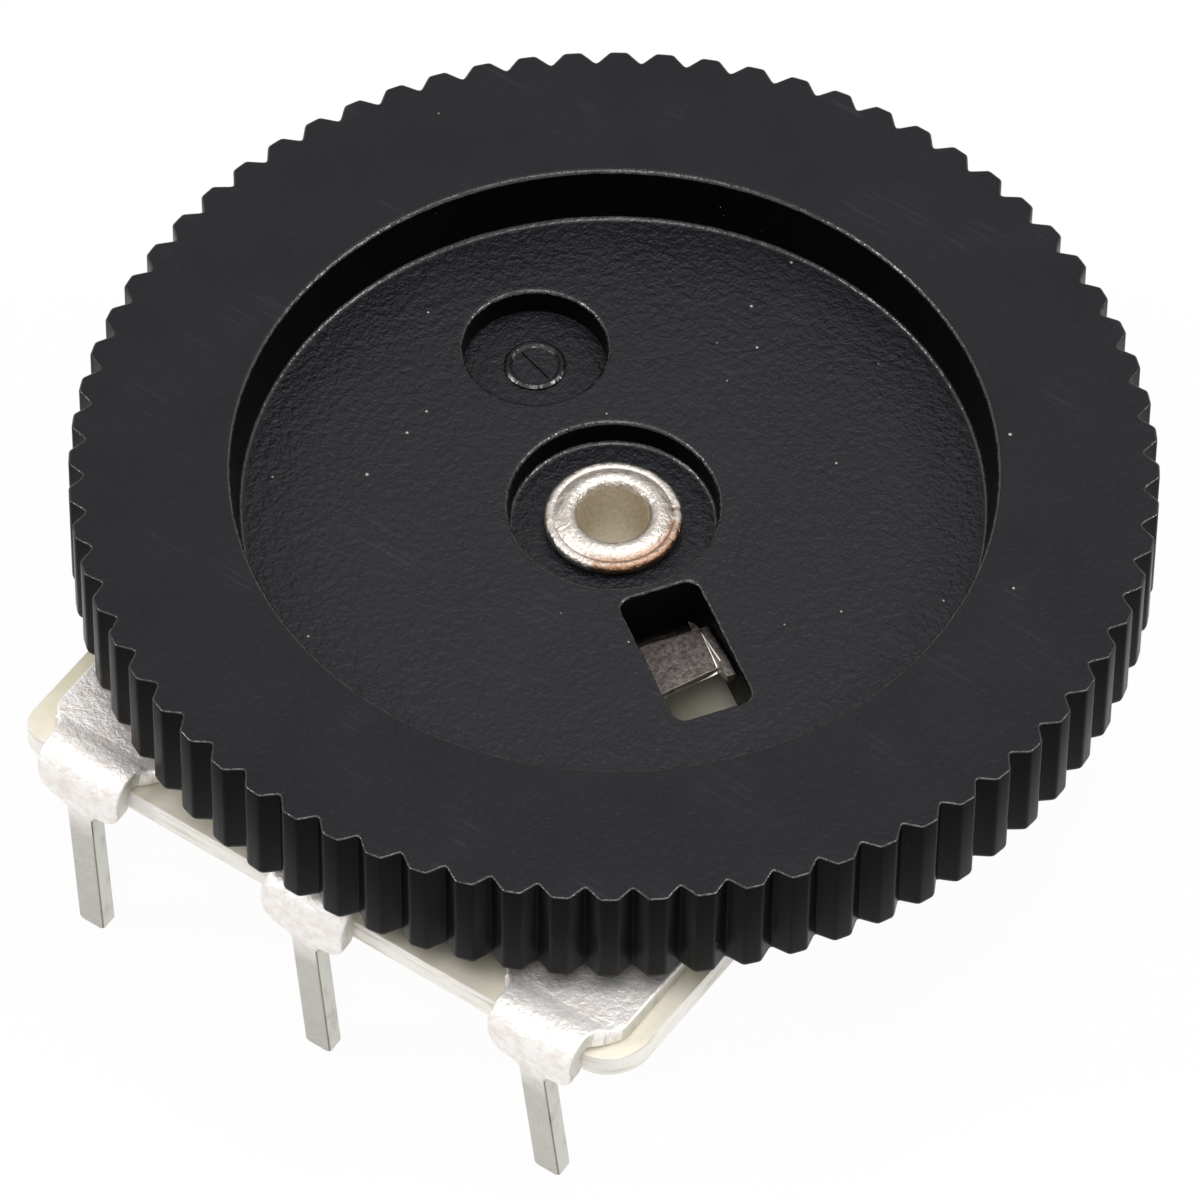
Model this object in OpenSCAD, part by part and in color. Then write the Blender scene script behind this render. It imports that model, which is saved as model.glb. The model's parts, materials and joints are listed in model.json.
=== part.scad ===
// Thumbwheel potentiometer: a toothed dial that turns on a hollow rivet over
// a small laminate board with a carbon track and three sheet terminals.
// Millimetres. The origin is on the rivet axis, on the underside of the board.
// +X runs along the row of terminals, -Y points to the terminals, +Z is up.

/* [Thumbwheel] */
// Diameter over the teeth
wheel_d = 16; // [14.6:0.1:20]
// Thickness of the toothed rim
wheel_t = 1.9; // [1.75:0.05:2.8]
// Number of teeth
tooth_count = 72; // [48:1:90]
// Depth of the V groove between two teeth
tooth_depth = 0.23; // [0.1:0.01:0.4]
// Width of a tooth's flat tip
tooth_land = 0.26; // [0.15:0.01:0.35]
// Rounding of the rim's lower edge
rim_round = 0.12; // [0.04:0.01:0.3]
// Width of the flat ring outside the recess
ring_w = 2.38; // [1.5:0.01:2.8]
// Depth of the recess in the top
recess_depth = 0.95; // [0.7:0.05:1.1]
// How much smaller in radius the recess is at its floor
recess_draft = 0.1; // [0:0.01:0.3]
// Broken edge at the recess's rim
edge_break = 0.04; // [0.01:0.01:0.1]
// Width of the counterbore round the rivet's flange
counterbore_w = 0.52; // [0.3:0.01:0.8]
// Depth of the counterbore
counterbore_depth = 0.45; // [0.3:0.05:0.55]
// Running clearance of the wheel on the rivet, in radius and in height
running_gap = 0.03; // [0.01:0.01:0.08]
// Angle from the window's middle line to the nearest groove
tooth_phase = 0.73; // [-2:0.01:2]
// Angle of the window from +X as the wheel stands
wheel_angle = -33.5; // [-180:0.5:180]

/* [Window and mould mark] */
// Width of the window
window_w = 1.22; // [1:0.02:1.6]
// Length of the window along the radius
window_l = 2.38; // [1.8:0.02:2.5]
// Wall between the counterbore and the window
window_wall = 0.17; // [0.1:0.01:0.4]
// Corner radius of the window
window_corner = 0.2; // [0.05:0.01:0.3]
// Diameter of the round mould mark
mark_d = 2.14; // [1.4:0.02:2.4]
// Depth of the mould mark
mark_depth = 0.45; // [0.2:0.05:0.6]
// Distance of the mould mark from the axis
mark_reach = 3.22; // [2.9:0.01:3.5]
// Diameter of the disc in the middle of the mark
mark_disc_d = 0.93; // [0.6:0.01:1.2]
// Height of the disc and depth of its line
mark_disc_h = 0.06; // [0.03:0.01:0.1]
// Angle of the line across the disc from the window's middle line
mark_line_angle = 10; // [-90:1:90]

/* [Stop rib] */
// Air between the wiper's finger tips and the rib
stop_reach = 0.45; // [0.2:0.05:0.6]
// Radial width of the rib
stop_w = 0.35; // [0.25:0.05:0.5]
// Half of the angle that the rib spans
stop_half_angle = 20; // [18:1:30]
// Air between the rib and the board
stop_air = 0.12; // [0.06:0.01:0.2]

/* [Rivet] */
// Bore of the hollow rivet
rivet_bore_d = 1.06; // [0.6:0.02:1.1]
// Wall of the rivet's barrel
barrel_wall = 0.22; // [0.16:0.01:0.4]
// How far the rolled flange reaches out past the barrel
flange_overhang = 0.28; // [0.24:0.01:0.5]
// Height of the rolled flange at its inner lip
flange_t = 0.28; // [0.24:0.01:0.4]
// Thickness of the rolled flange at its outer rim
flange_rim_t = 0.2; // [0.12:0.01:0.22]
// How far the lower head reaches out past the barrel
head_overhang = 0.55; // [0.3:0.05:0.8]
// Thickness of the lower head
head_t = 0.22; // [0.15:0.01:0.3]

/* [Board] */
// Thickness of the board
board_t = 0.4; // [0.3:0.05:1]
// Width of board left outside the outer terminals and the track
board_side = 0.32; // [0.1:0.01:0.6]
// How far the board's middle lies to the left of the axis
board_shift = 0.04; // [0:0.01:0.1]
// Length of board in front of the stop rib
board_lip = 1.83; // [1.6:0.01:3]
// Width of board behind the stop rib
board_back = 1; // [0.3:0.1:1.6]
// Radius of the left front corner
left_corner = 0.4; // [0.2:0.05:1]
// Radius of the right front corner
right_corner = 0.72; // [0.2:0.05:1]
// Clearance of what passes through a hole in the board
hole_gap = 0.02; // [0.01:0.01:0.05]

/* [Carbon track] */
// Thickness of the printed layers
print_t = 0.03; // [0.02:0.01:0.05]
// Middle radius of the track
track_r = 4.4; // [4.2:0.05:5.3]
// Width of the track
track_w = 1.3; // [0.9:0.05:1.3]
// Half of the angle between the track's two ends
track_gap_half = 28; // [24:1:32]
// Half of the angle left bare between the two silver pads
bare_gap_half = 15; // [14:1:18]

/* [Terminals] */
// Thickness of the terminal sheet
sheet_t = 0.3; // [0.2:0.02:0.4]
// Distance between neighbouring terminals
terminal_pitch = 4.05; // [3.9:0.05:5]
// Width of a terminal over the bend
bend_w = 1.46; // [1.2:0.02:1.7]
// Width of a terminal's plate on the board
plate_w = 2.1; // [1.9:0.05:2.2]
// Length over which a terminal widens from the bend to its plate
widening_l = 0.65; // [0.3:0.05:0.8]
// Inner radius of the bend over the board's edge
bend_in_r = 0.1; // [0.05:0.01:0.2]
// Air between the board's front edge and the bent-down skirt
skirt_air = 0.12; // [0.04:0.01:0.3]
// Height of the arch just before the bend
arch_rise = 0.1; // [0.02:0.01:0.14]
// Air between the arch and the toothed rim above it
arch_air = 0.27; // [0.1:0.01:0.5]
// Length of the skirt below the bend
skirt_l = 0.54; // [0.5:0.02:1]
// Radius of the skirt's lower corners
skirt_corner = 0.38; // [0.1:0.01:0.4]
// Width of a leg
leg_w = 0.46; // [0.3:0.02:0.6]
// Length of a leg below the skirt
leg_l = 3; // [2:0.05:5]
// Fillet between leg and skirt
leg_fillet = 0.14; // [0.05:0.01:0.15]
// How far the left leg leans back under the board, in degrees
left_lean = 3.5; // [0:0.5:10]
// How far the middle leg leans back under the board, in degrees
middle_lean = 6; // [0:0.5:10]
// How far the right leg leans back under the board, in degrees
right_lean = 8; // [0:0.5:10]
// Radius of a plate's back corners
plate_corner = 0.25; // [0.1:0.01:0.35]
// Air between a plate's back corner and the stop rib
plate_air = 0.15; // [0.05:0.01:0.3]
// Width of the middle terminal's strip
strip_w = 1.8; // [1.4:0.05:1.85]
// Width of the middle terminal's ring round the rivet
ring_band = 0.83; // [0.5:0.01:0.9]
// Outer diameter of the burr that rivets a terminal to the board
burr_d = 0.9; // [0.7:0.05:1]
// Wall of the burr
burr_wall = 0.15; // [0.1:0.01:0.2]
// Diameter of the burr's flared end
flare_d = 1.36; // [1.1:0.02:1.5]

/* [Wiper] */
// Thickness of the wiper sheet
wiper_t = 0.15; // [0.1:0.01:0.16]
// Width of the wiper's hub round the rivet
hub_band = 0.75; // [0.5:0.01:0.8]
// Width of the forked arm
arm_w = 1.26; // [1:0.02:1.4]
// Width of the slot between the two fingers
slot_w = 0.26; // [0.15:0.01:0.4]
// Length of the upturned finger tips
finger_tip_l = 0.4; // [0.3:0.05:0.45]
// Angle of the upturned finger tips
finger_tip_angle = 28; // [15:1:35]
// Air under the two contact points
contact_air = 0.02; // [0.01:0.01:0.04]
// Air on each side of the driving tongue in the window
tongue_air = 0.03; // [0.02:0.01:0.1]
// Length of the tongue from the window's inner end
tongue_l = 1.58; // [1:0.02:1.8]
// How much shorter the tongue is at its flange than at its other side
tongue_skew = 0.2; // [0:0.05:0.4]
// Depth of the tongue's floor below the recess floor
tongue_depth = 0.35; // [0.25:0.01:0.45]
// Height of the tongue's side flange above its floor
tongue_flange_h = 0.18; // [0.1:0.01:0.24]
// How far the flange reaches out past the tongue
flange_past = 0.15; // [0.05:0.05:0.3]

/* [Hidden] */
$fn = 96;

black = "#2a2a2c";
silver = "#d8d4cf";
plated = "#cfcbc6";
cream = "#e2dfcb";
carbon = "#1d1c1b";
ink = "#c3c3bf";

// Extra length that lets a cutter pass right through
through = 1;

// Stack of levels along the axis
print_top = board_t + print_t;
plate_top = board_t + sheet_t;
hub_bottom = plate_top + contact_air;
hub_top = hub_bottom + wiper_t;
wheel_bottom = print_top + sheet_t + arch_rise + arch_air;
wheel_top = wheel_bottom + wheel_t;
floor_z = wheel_top - recess_depth;
counter_z = floor_z - counterbore_depth;
mark_z = floor_z - mark_depth;
flange_z = counter_z + running_gap;
rivet_top = flange_z + flange_t;

// Rivet radii
bore_r = rivet_bore_d / 2;
barrel_r = bore_r + barrel_wall;
flange_r = barrel_r + flange_overhang;
head_r = barrel_r + head_overhang;

// Radii of what turns on the rivet
wheel_r = wheel_d / 2;
recess_r = wheel_r - ring_w;
counterbore_r = flange_r + counterbore_w;
wheel_bore_r = barrel_r + running_gap;
hub_r = barrel_r + hub_band;
boss_r = hub_r + 0.05;
window_start = counterbore_r + window_wall;
stop_in_r = track_r + finger_tip_l + stop_reach;
stop_r = stop_in_r + stop_w;
tooth_pitch_angle = 360 / tooth_count;
groove_half_angle = (tooth_pitch_angle - tooth_land / wheel_r * 180 / PI) / 2;

// Board places
track_out_r = track_r + track_w / 2;
board_w = 2 * (max(terminal_pitch + plate_w / 2, track_out_r) + board_side);
board_front = stop_r + board_lip;
board_back_r = stop_r + board_back;

// Terminal places
bend_r = bend_in_r + sheet_t / 2;
skirt_out_y = -(board_front + skirt_air + sheet_t);
bend_y = skirt_out_y + sheet_t / 2 + bend_r;
arch_r = 0.5;
arch_angle = acos(1 - arch_rise / (2 * arch_r));
arch_l = 2 * arch_r * sin(arch_angle);
plate_front_y = bend_y + arch_l;
head_back_y = -(stop_r + 0.3);
plate_corner_x = terminal_pitch - plate_w / 2 + plate_corner;
plate_corner_r = stop_r + plate_air + plate_corner;
plate_back_y = plate_corner - sqrt(pow(plate_corner_r, 2) - pow(plate_corner_x, 2));
outer_burr_y = (plate_front_y + plate_back_y) / 2;
middle_burr_y = head_back_y - burr_d / 2 - 0.05;
hub_hole_r = barrel_r + hole_gap;

// Angle from -Y at which the rib's middle stands when it strikes the strip
stop_angle = stop_half_angle + asin(strip_w / 2 / stop_in_r);

// Wiper places: the arm stays level until it is clear of the strip at the stops
arm_drop_start = (strip_w / 2 + arm_w / 2 * cos(stop_angle)) / sin(stop_angle) + 0.1;
tongue_w = window_w - 2 * tongue_air;
tongue_top = floor_z - tongue_depth;
ramp_start = window_start + 0.12;
ramp_l = 0.6;
tongue_start = ramp_start + ramp_l;
tongue_reach = window_start + tongue_l;
flange_reach = tongue_reach + flange_past;

// ---- shapes shared by several pieces ----

// A part of a flat ring between two angles, each below 180 apart
module ring_sector(r_in, r_out, start, end) {
    reach = r_out * 2;
    mid = (start + end) / 2;
    intersection() {
        difference() {
            circle(r = r_out);
            circle(r = r_in);
        }
        polygon([[0, 0],
                 [reach * cos(start), reach * sin(start)],
                 [reach * cos(mid), reach * sin(mid)],
                 [reach * cos(end), reach * sin(end)]]);
    }
}

// A rectangle from one corner, with all four corners rounded
module rounded_rect(size, r) {
    translate([r, 0]) square([size.x - 2 * r, size.y]);
    translate([0, r]) square([size.x, size.y - 2 * r]);
    for (x = [r, size.x - r], y = [r, size.y - r])
        translate([x, y]) circle(r = r);
}

// The corner between two edges that meet at the origin, filled by a fillet
module inside_fillet(r) {
    difference() {
        square([r, r]);
        translate([r, r]) circle(r = r);
    }
}

// Turns what belongs to the wheel to where it stands
module on_wheel() {
    rotate([0, 0, wheel_angle]) children();
}

// ---- thumbwheel ----

// Half section of the wheel, from the bore to the tips of the teeth
module wheel_section() {
    round_c = [wheel_r - rim_round, wheel_bottom + rim_round];
    polygon(concat(
        [[wheel_bore_r, hub_top], [boss_r, hub_top], [boss_r, wheel_bottom]],
        [for (a = [-90 : 22.5 : 0]) round_c + rim_round * [cos(a), sin(a)]],
        [[wheel_r, wheel_top],
         [recess_r + edge_break, wheel_top],
         [recess_r, wheel_top - edge_break],
         [recess_r - recess_draft, floor_z],
         [counterbore_r, floor_z],
         [counterbore_r, counter_z],
         [wheel_bore_r, counter_z]]));
}

// Star outline whose V notches leave the round tips of the teeth
module tooth_outline() {
    root = [wheel_r - tooth_depth, 0];
    tip = wheel_r * [cos(groove_half_angle), sin(groove_half_angle)];
    flank = (tip - root) * 1.3;
    polygon([for (i = [0 : tooth_count - 1])
        let (a = i * tooth_pitch_angle + tooth_phase, c = cos(a), s = sin(a))
        for (p = [root + [flank.x, -flank.y], root, root + flank])
            [p.x * c - p.y * s, p.x * s + p.y * c]]);
}

// Round pocket with a low disc and a diagonal line across the disc
module mould_mark() {
    line_w = 0.07;
    translate([-mark_reach, 0, mark_z]) difference() {
        cylinder(d = mark_d, h = mark_depth + through);
        difference() {
            translate([0, 0, -through]) cylinder(d = mark_disc_d, h = through + mark_disc_h);
            rotate(mark_line_angle)
                translate([-mark_d, -line_w / 2, 0]) cube([2 * mark_d, line_w, through]);
        }
    }
}

// Rib under the wheel that strikes the sides of the middle terminal
module stop_rib() {
    translate([0, 0, print_top + stop_air])
        linear_extrude(wheel_bottom - print_top - stop_air)
            ring_sector(stop_in_r, stop_r, 180 - stop_half_angle, 180 + stop_half_angle);
}

module thumbwheel() {
    color(black) on_wheel() {
        difference() {
            intersection() {
                rotate_extrude() wheel_section();
                translate([0, 0, hub_top]) linear_extrude(wheel_t + through) tooth_outline();
            }
            translate([window_start, -window_w / 2, wheel_bottom - through])
                linear_extrude(wheel_t + through)
                    rounded_rect([window_l, window_w], window_corner);
            mould_mark();
        }
        stop_rib();
    }
}

// ---- wiper ----

// Direction from one point to another
function heading(p, q) = atan2(q.y - p.y, q.x - p.x);

// The other face of a folded sheet whose one face follows the points
function sheet_face(points, t) =
    let (last = len(points) - 1)
    [for (i = [0 : last])
        let (before = heading(points[max(i - 1, 0)], points[max(i, 1)]),
             after = heading(points[min(i, last - 1)], points[min(i + 1, last)]),
             mid = (before + after) / 2,
             reach = t / cos((after - before) / 2))
        points[i] + reach * [-sin(mid), cos(mid)]];

// Side section of the wiper sheet along the wheel's window line
module wiper_section() {
    tip_dx = finger_tip_l * cos(finger_tip_angle);
    tip_dz = finger_tip_l * sin(finger_tip_angle);
    contact_z = print_top + contact_air;
    lower = [[-track_r - tip_dx, contact_z + tip_dz],
             [-track_r, contact_z],
             [-arm_drop_start, hub_bottom],
             [ramp_start, hub_bottom],
             [tongue_start, tongue_top - wiper_t],
             [tongue_reach, tongue_top - wiper_t]];
    upper = sheet_face(lower, wiper_t);
    polygon(concat(lower, [for (i = [len(upper) - 1 : -1 : 0]) upper[i]]));
}

// Outline of the wiper seen from above
module wiper_plan() {
    finger_end = track_r + finger_tip_l;
    half = tongue_w / 2;
    circle(r = hub_r);
    translate([-finger_end, -arm_w / 2]) square([finger_end, arm_w]);
    polygon([[0, -half], [tongue_reach, -half], [tongue_reach - tongue_skew, half], [0, half]]);
}

// The upturned side of the tongue, which bears on the window's wall
module tongue_flange() {
    base_z = tongue_top - wiper_t;
    crest_z = tongue_top + tongue_flange_h;
    translate([0, tongue_w / 2, 0]) rotate([90, 0, 0]) linear_extrude(wiper_t)
        polygon([[tongue_start, base_z],
                 [tongue_reach - tongue_skew, base_z],
                 [flange_reach, crest_z - wiper_t],
                 [flange_reach, crest_z],
                 [flange_reach - 2 * wiper_t, crest_z],
                 [tongue_start, tongue_top]]);
}

module wiper() {
    slot_start = hub_r + 0.5;
    color(plated) on_wheel() difference() {
        union() {
            intersection() {
                translate([0, hub_r, 0]) rotate([90, 0, 0])
                    linear_extrude(2 * hub_r) wiper_section();
                linear_extrude(wheel_top) wiper_plan();
            }
            tongue_flange();
        }
        cylinder(r = wheel_bore_r, h = wheel_top);
        translate([-track_r * 2, -slot_w / 2, 0])
            cube([track_r * 2 - slot_start, slot_w, wheel_top]);
    }
}

// ---- rivet ----

// Half section of the rivet: lower head, barrel and rolled upper flange, which
// is thin at its rim and stands up as a lip round the bore
module rivet_section() {
    rim_r = flange_rim_t / 2;
    rim_c = [flange_r - rim_r, flange_z + rim_r];
    lip_r = barrel_wall / 2 + 0.04;
    lip_c = [bore_r + lip_r, rivet_top - lip_r];
    valley = [(rim_c.x + lip_c.x + lip_r) / 2, flange_z + flange_rim_t - 0.02];
    edge = 0.08;
    polygon(concat(
        [[bore_r, -head_t], [head_r - edge, -head_t],
         [head_r, -head_t + edge], [head_r, 0],
         [barrel_r, 0], [barrel_r, flange_z]],
        [for (a = [-90 : 22.5 : 90]) rim_c + rim_r * [cos(a), sin(a)]],
        [valley],
        [for (a = [20 : 20 : 180]) lip_c + lip_r * [cos(a), sin(a)]]));
}

module rivet() {
    color(silver) rotate_extrude() rivet_section();
}

// ---- board and printed layers ----

// Outline of the board: straight sides and front, rounded back
module board_outline() {
    left_x = -board_w / 2 - board_shift;
    difference() {
        intersection() {
            translate([left_x, -board_front]) square([board_w, board_front + board_back_r]);
            union() {
                circle(r = board_back_r);
                translate([left_x, -board_front]) square([board_w, board_front]);
            }
        }
        translate([left_x, -board_front]) inside_fillet(left_corner);
        translate([left_x + board_w, -board_front]) mirror([1, 0]) inside_fillet(right_corner);
    }
}

module board() {
    color(cream) difference() {
        linear_extrude(board_t) board_outline();
        translate([0, 0, -through]) {
            cylinder(r = hub_hole_r, h = board_t + 2 * through);
            for (x = [-terminal_pitch, terminal_pitch])
                translate([x, outer_burr_y, 0])
                    cylinder(d = burr_d + 2 * hole_gap, h = board_t + 2 * through);
            translate([0, middle_burr_y, 0])
                cylinder(d = burr_d + 2 * hole_gap, h = board_t + 2 * through);
        }
    }
}

module carbon_track() {
    color(carbon) translate([0, 0, board_t]) linear_extrude(print_t)
        difference() {
            circle(r = track_out_r);
            circle(r = track_r - track_w / 2);
            polygon([[0, 0],
                     2 * track_r * [-sin(track_gap_half), -cos(track_gap_half)],
                     2 * track_r * [sin(track_gap_half), -cos(track_gap_half)]]);
        }
}

// Silver ink from the track's end out to the terminal's burr, on the right side
module silver_pad() {
    pad_w = plate_w - 0.3;
    color(ink) translate([0, 0, board_t]) linear_extrude(print_t) difference() {
        union() {
            ring_sector(track_r - track_w / 2, track_out_r,
                        -90 + bare_gap_half, -90 + track_gap_half);
            polygon([(track_out_r - 0.1) * [sin(bare_gap_half), -cos(bare_gap_half)],
                     [terminal_pitch - pad_w / 2, outer_burr_y - burr_d],
                     [terminal_pitch + pad_w / 2, outer_burr_y - burr_d],
                     [terminal_pitch + pad_w / 2, outer_burr_y + burr_d],
                     (track_out_r - 0.1) * [sin(track_gap_half), -cos(track_gap_half)]]);
        }
        translate([terminal_pitch, outer_burr_y]) circle(d = burr_d + 2 * hole_gap);
    }
}

module silver_pad_right() {
    silver_pad();
}

module silver_pad_left() {
    mirror([1, 0, 0]) silver_pad();
}

// ---- terminals ----

// Side section of a terminal from its back end to the end of the bend, in the
// plane of Y and Z, with the sheet's underside at height 0 on the board
module terminal_section(back_y, lean) {
    mid = sheet_t / 2;
    crest = mid + arch_rise;
    translate([plate_front_y, 0]) square([back_y - plate_front_y, sheet_t]);
    translate([plate_front_y, mid + arch_r])
        ring_sector(arch_r - mid, arch_r + mid, -90 - arch_angle, -90);
    translate([bend_y, crest - arch_r])
        ring_sector(arch_r - mid, arch_r + mid, 90 - arch_angle, 90);
    translate([bend_y, crest - bend_r])
        ring_sector(bend_r - mid, bend_r + mid, 90, 180 + lean);
}

// Skirt and leg seen from the front, hanging from the end of the bend
module leg_outline() {
    difference() {
        translate([-bend_w / 2, -skirt_l]) square([bend_w, skirt_l]);
        for (m = [0, 1])
            mirror([m, 0]) translate([-bend_w / 2, -skirt_l]) inside_fillet(skirt_corner);
    }
    translate([-leg_w / 2, -skirt_l - leg_l]) square([leg_w, leg_l + skirt_corner]);
    for (m = [0, 1])
        mirror([m, 0]) translate([leg_w / 2, -skirt_l]) mirror([0, 1]) inside_fillet(leg_fillet);
}

// The flat sheet of a skirt and its leg, turned back about the bend's centre
module leg(lean) {
    translate([0, bend_y, sheet_t / 2 + arch_rise - bend_r]) rotate([lean, 0, 0])
        translate([0, sheet_t / 2 - bend_r, 0]) rotate([90, 0, 0])
            linear_extrude(sheet_t) leg_outline();
}

// Half width of a terminal at a share of its widening, which runs in an S
function half_width(share) =
    (bend_w + (plate_w - bend_w) * (1 - cos(180 * share)) / 2) / 2;

// Plate seen from above: a neck at the bend that widens to the head
module plate_outline(back_y) {
    head_y = bend_y + widening_l;
    edge = [for (t = [0 : 0.1 : 1]) [half_width(t), bend_y + widening_l * t]];
    translate([-bend_w / 2, skirt_out_y - through])
        square([bend_w, bend_y - skirt_out_y + through]);
    polygon(concat(edge, [for (i = [len(edge) - 1 : -1 : 0]) [-edge[i].x, edge[i].y]]));
    difference() {
        translate([-plate_w / 2, head_y]) square([plate_w, back_y - head_y]);
        for (m = [0, 1])
            mirror([m, 0]) translate([-plate_w / 2, back_y])
                mirror([0, 1]) inside_fillet(plate_corner);
    }
}

// Drawn tube that passes through the board and is flared under it
module burr(base_z) {
    translate([0, 0, -base_z]) {
        cylinder(d = burr_d, h = base_z + sheet_t / 2);
        translate([0, 0, -burr_wall]) cylinder(d = flare_d, h = burr_wall);
    }
}

// A terminal on the board: its burr's place, its back end and its lean
module terminal(base_z, burr_y, back_y, lean) {
    translate([0, 0, base_z]) difference() {
        union() {
            intersection() {
                translate([-plate_w / 2, 0, 0]) rotate([90, 0, 90])
                    linear_extrude(plate_w) terminal_section(back_y, lean);
                translate([0, 0, -through]) linear_extrude(3 * through) plate_outline(back_y);
            }
            leg(lean);
            translate([0, burr_y, 0]) burr(base_z);
        }
        translate([0, burr_y, -base_z - burr_wall - through])
            cylinder(d = burr_d - 2 * burr_wall, h = base_z + 2 * through + sheet_t);
    }
}

module terminal_left() {
    color(silver) translate([-terminal_pitch, 0, 0])
        terminal(print_top, outer_burr_y, plate_back_y, left_lean);
}

module terminal_right() {
    color(silver) translate([terminal_pitch, 0, 0])
        terminal(print_top, outer_burr_y, plate_back_y, right_lean);
}

// The middle terminal runs back as a strip and ends in a ring under the wiper
module terminal_middle() {
    color(silver) {
        difference() {
            union() {
                terminal(board_t, middle_burr_y, head_back_y, middle_lean);
                translate([0, 0, board_t]) linear_extrude(sheet_t) {
                    translate([-strip_w / 2, head_back_y - 0.1])
                        square([strip_w, -head_back_y + 0.1]);
                    circle(r = barrel_r + ring_band);
                }
            }
            cylinder(r = hub_hole_r, h = wheel_top);
        }
    }
}

thumbwheel();
wiper();
rivet();
board();
carbon_track();
silver_pad_left();
silver_pad_right();
terminal_left();
terminal_middle();
terminal_right();
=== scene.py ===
"""Thumbwheel potentiometer, finished for rendering in the frame of its CAD model.

A toothed black dial turns on a hollow rivet over a small laminate board, which
carries a carbon track, a sprung wiper and three bent sheet terminals. Pieces are
modelled in millimetres and scaled to metres once, as the last step of each.
"""

import json
import logging
import math
from dataclasses import dataclass
from enum import Enum
from typing import Any, Callable, Optional, Sequence

import bpy
from mathutils import Matrix, Vector

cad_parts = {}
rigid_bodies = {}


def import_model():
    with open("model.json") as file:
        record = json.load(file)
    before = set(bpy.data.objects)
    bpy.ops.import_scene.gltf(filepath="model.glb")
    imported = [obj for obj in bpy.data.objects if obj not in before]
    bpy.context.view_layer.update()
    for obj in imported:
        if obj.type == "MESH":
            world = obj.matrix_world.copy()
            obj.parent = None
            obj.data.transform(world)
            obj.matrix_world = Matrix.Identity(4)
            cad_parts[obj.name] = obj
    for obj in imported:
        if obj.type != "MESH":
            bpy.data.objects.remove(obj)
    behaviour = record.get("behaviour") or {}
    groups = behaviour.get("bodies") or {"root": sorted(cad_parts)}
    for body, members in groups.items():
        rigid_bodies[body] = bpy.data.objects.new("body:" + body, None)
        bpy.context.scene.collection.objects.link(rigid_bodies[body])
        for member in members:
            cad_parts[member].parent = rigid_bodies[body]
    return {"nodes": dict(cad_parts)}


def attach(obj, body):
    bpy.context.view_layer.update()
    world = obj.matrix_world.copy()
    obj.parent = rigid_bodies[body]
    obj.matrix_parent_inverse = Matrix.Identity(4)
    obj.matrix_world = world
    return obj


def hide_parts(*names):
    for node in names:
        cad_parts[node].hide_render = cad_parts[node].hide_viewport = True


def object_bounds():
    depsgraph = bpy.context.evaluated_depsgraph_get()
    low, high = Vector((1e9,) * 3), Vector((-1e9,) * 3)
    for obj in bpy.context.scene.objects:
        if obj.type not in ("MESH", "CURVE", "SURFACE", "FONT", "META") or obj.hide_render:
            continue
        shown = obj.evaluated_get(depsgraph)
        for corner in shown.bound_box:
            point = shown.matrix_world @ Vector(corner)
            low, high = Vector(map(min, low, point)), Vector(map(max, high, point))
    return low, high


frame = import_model()
CAD_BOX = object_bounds()

log = logging.getLogger("thumbwheel_potentiometer")

Point = tuple[float, float, float]
Pair = tuple[float, float]
Object = bpy.types.Object
Face = bpy.types.MeshPolygon
Material = bpy.types.Material
Tree = bpy.types.NodeTree
Socket = bpy.types.NodeSocket
Layers = list[tuple[str, Socket]]

MM = 0.001
NEAR = 1e-3  # how near two heights or radii count as one, in millimetres
NEAR_ANGLE = 1e-4  # how near two directions count as one, in radians
WHEEL_ANGLE = math.radians(-33.5)


class Pick(Enum):
    """What a selection in edit mode is made of."""

    VERTICES = "VERT"
    EDGES = "EDGE"
    FACES = "FACE"


class Line(Enum):
    """How a traced line ends: loose, joined to its start, or as a face's outline."""

    OPEN = 0
    CLOSED = 1
    FILLED = 2


class Tool(Enum):
    """What a closed mesh does to the piece that it meets."""

    CUT = "DIFFERENCE"
    ADD = "UNION"


class Body(Enum):
    """The two rigid bodies of the part."""

    BASE = "base"
    DIAL = "dial"


class Side(Enum):
    """A terminal's place in the row."""

    LEFT = "left"
    MIDDLE = "middle"
    RIGHT = "right"


class Faces(Enum):
    """The faces that dust lies on, with the dimensions its cells then have."""

    LEVEL = "2D"
    UPRIGHT = "3D"


# ---- colour and node helpers ----


def linear(hex_colour: str) -> tuple[float, float, float, float]:
    """Turn an sRGB hex colour into linear values.

    Args:
        hex_colour: "#rrggbb".

    Returns:
        Linear red, green, blue, and an alpha of 1.
    """
    channels = [int(hex_colour[i:i + 2], 16) / 255 for i in (1, 3, 5)]
    return tuple(c / 12.92 if c <= 0.04045 else ((c + 0.055) / 1.055) ** 2.4
                 for c in channels) + (1.0,)


def add_node(tree: Tree, kind: str, inputs: Optional[dict[Any, Any]] = None) -> bpy.types.Node:
    """Add one node with its settings and its links.

    Args:
        tree: the node tree.
        kind: the node's type, without the "ShaderNode" that starts it.
        inputs: settings by property name, and values or sockets to link by the
            name or number of an input.

    Returns:
        The new node.
    """
    made = tree.nodes.new("ShaderNode" + kind)
    for key, value in (inputs or {}).items():
        if isinstance(value, Socket):
            tree.links.new(value, made.inputs[key])
        elif isinstance(key, str) and hasattr(made, key):
            setattr(made, key, value)
        else:
            made.inputs[key].default_value = value
    return made


def empty_tree(owner: Any) -> Tree:
    """Give a material or world a node tree with nothing in it.

    Args:
        owner: the material or world.

    Returns:
        The empty tree.
    """
    owner.use_nodes = True
    owner.node_tree.nodes.clear()
    return owner.node_tree


# ---- modelling helpers ----


def deselect() -> None:
    """Go to object mode with nothing selected."""
    if bpy.context.mode != "OBJECT":
        bpy.ops.object.mode_set(mode="OBJECT")
    bpy.ops.object.select_all(action="DESELECT")


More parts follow.
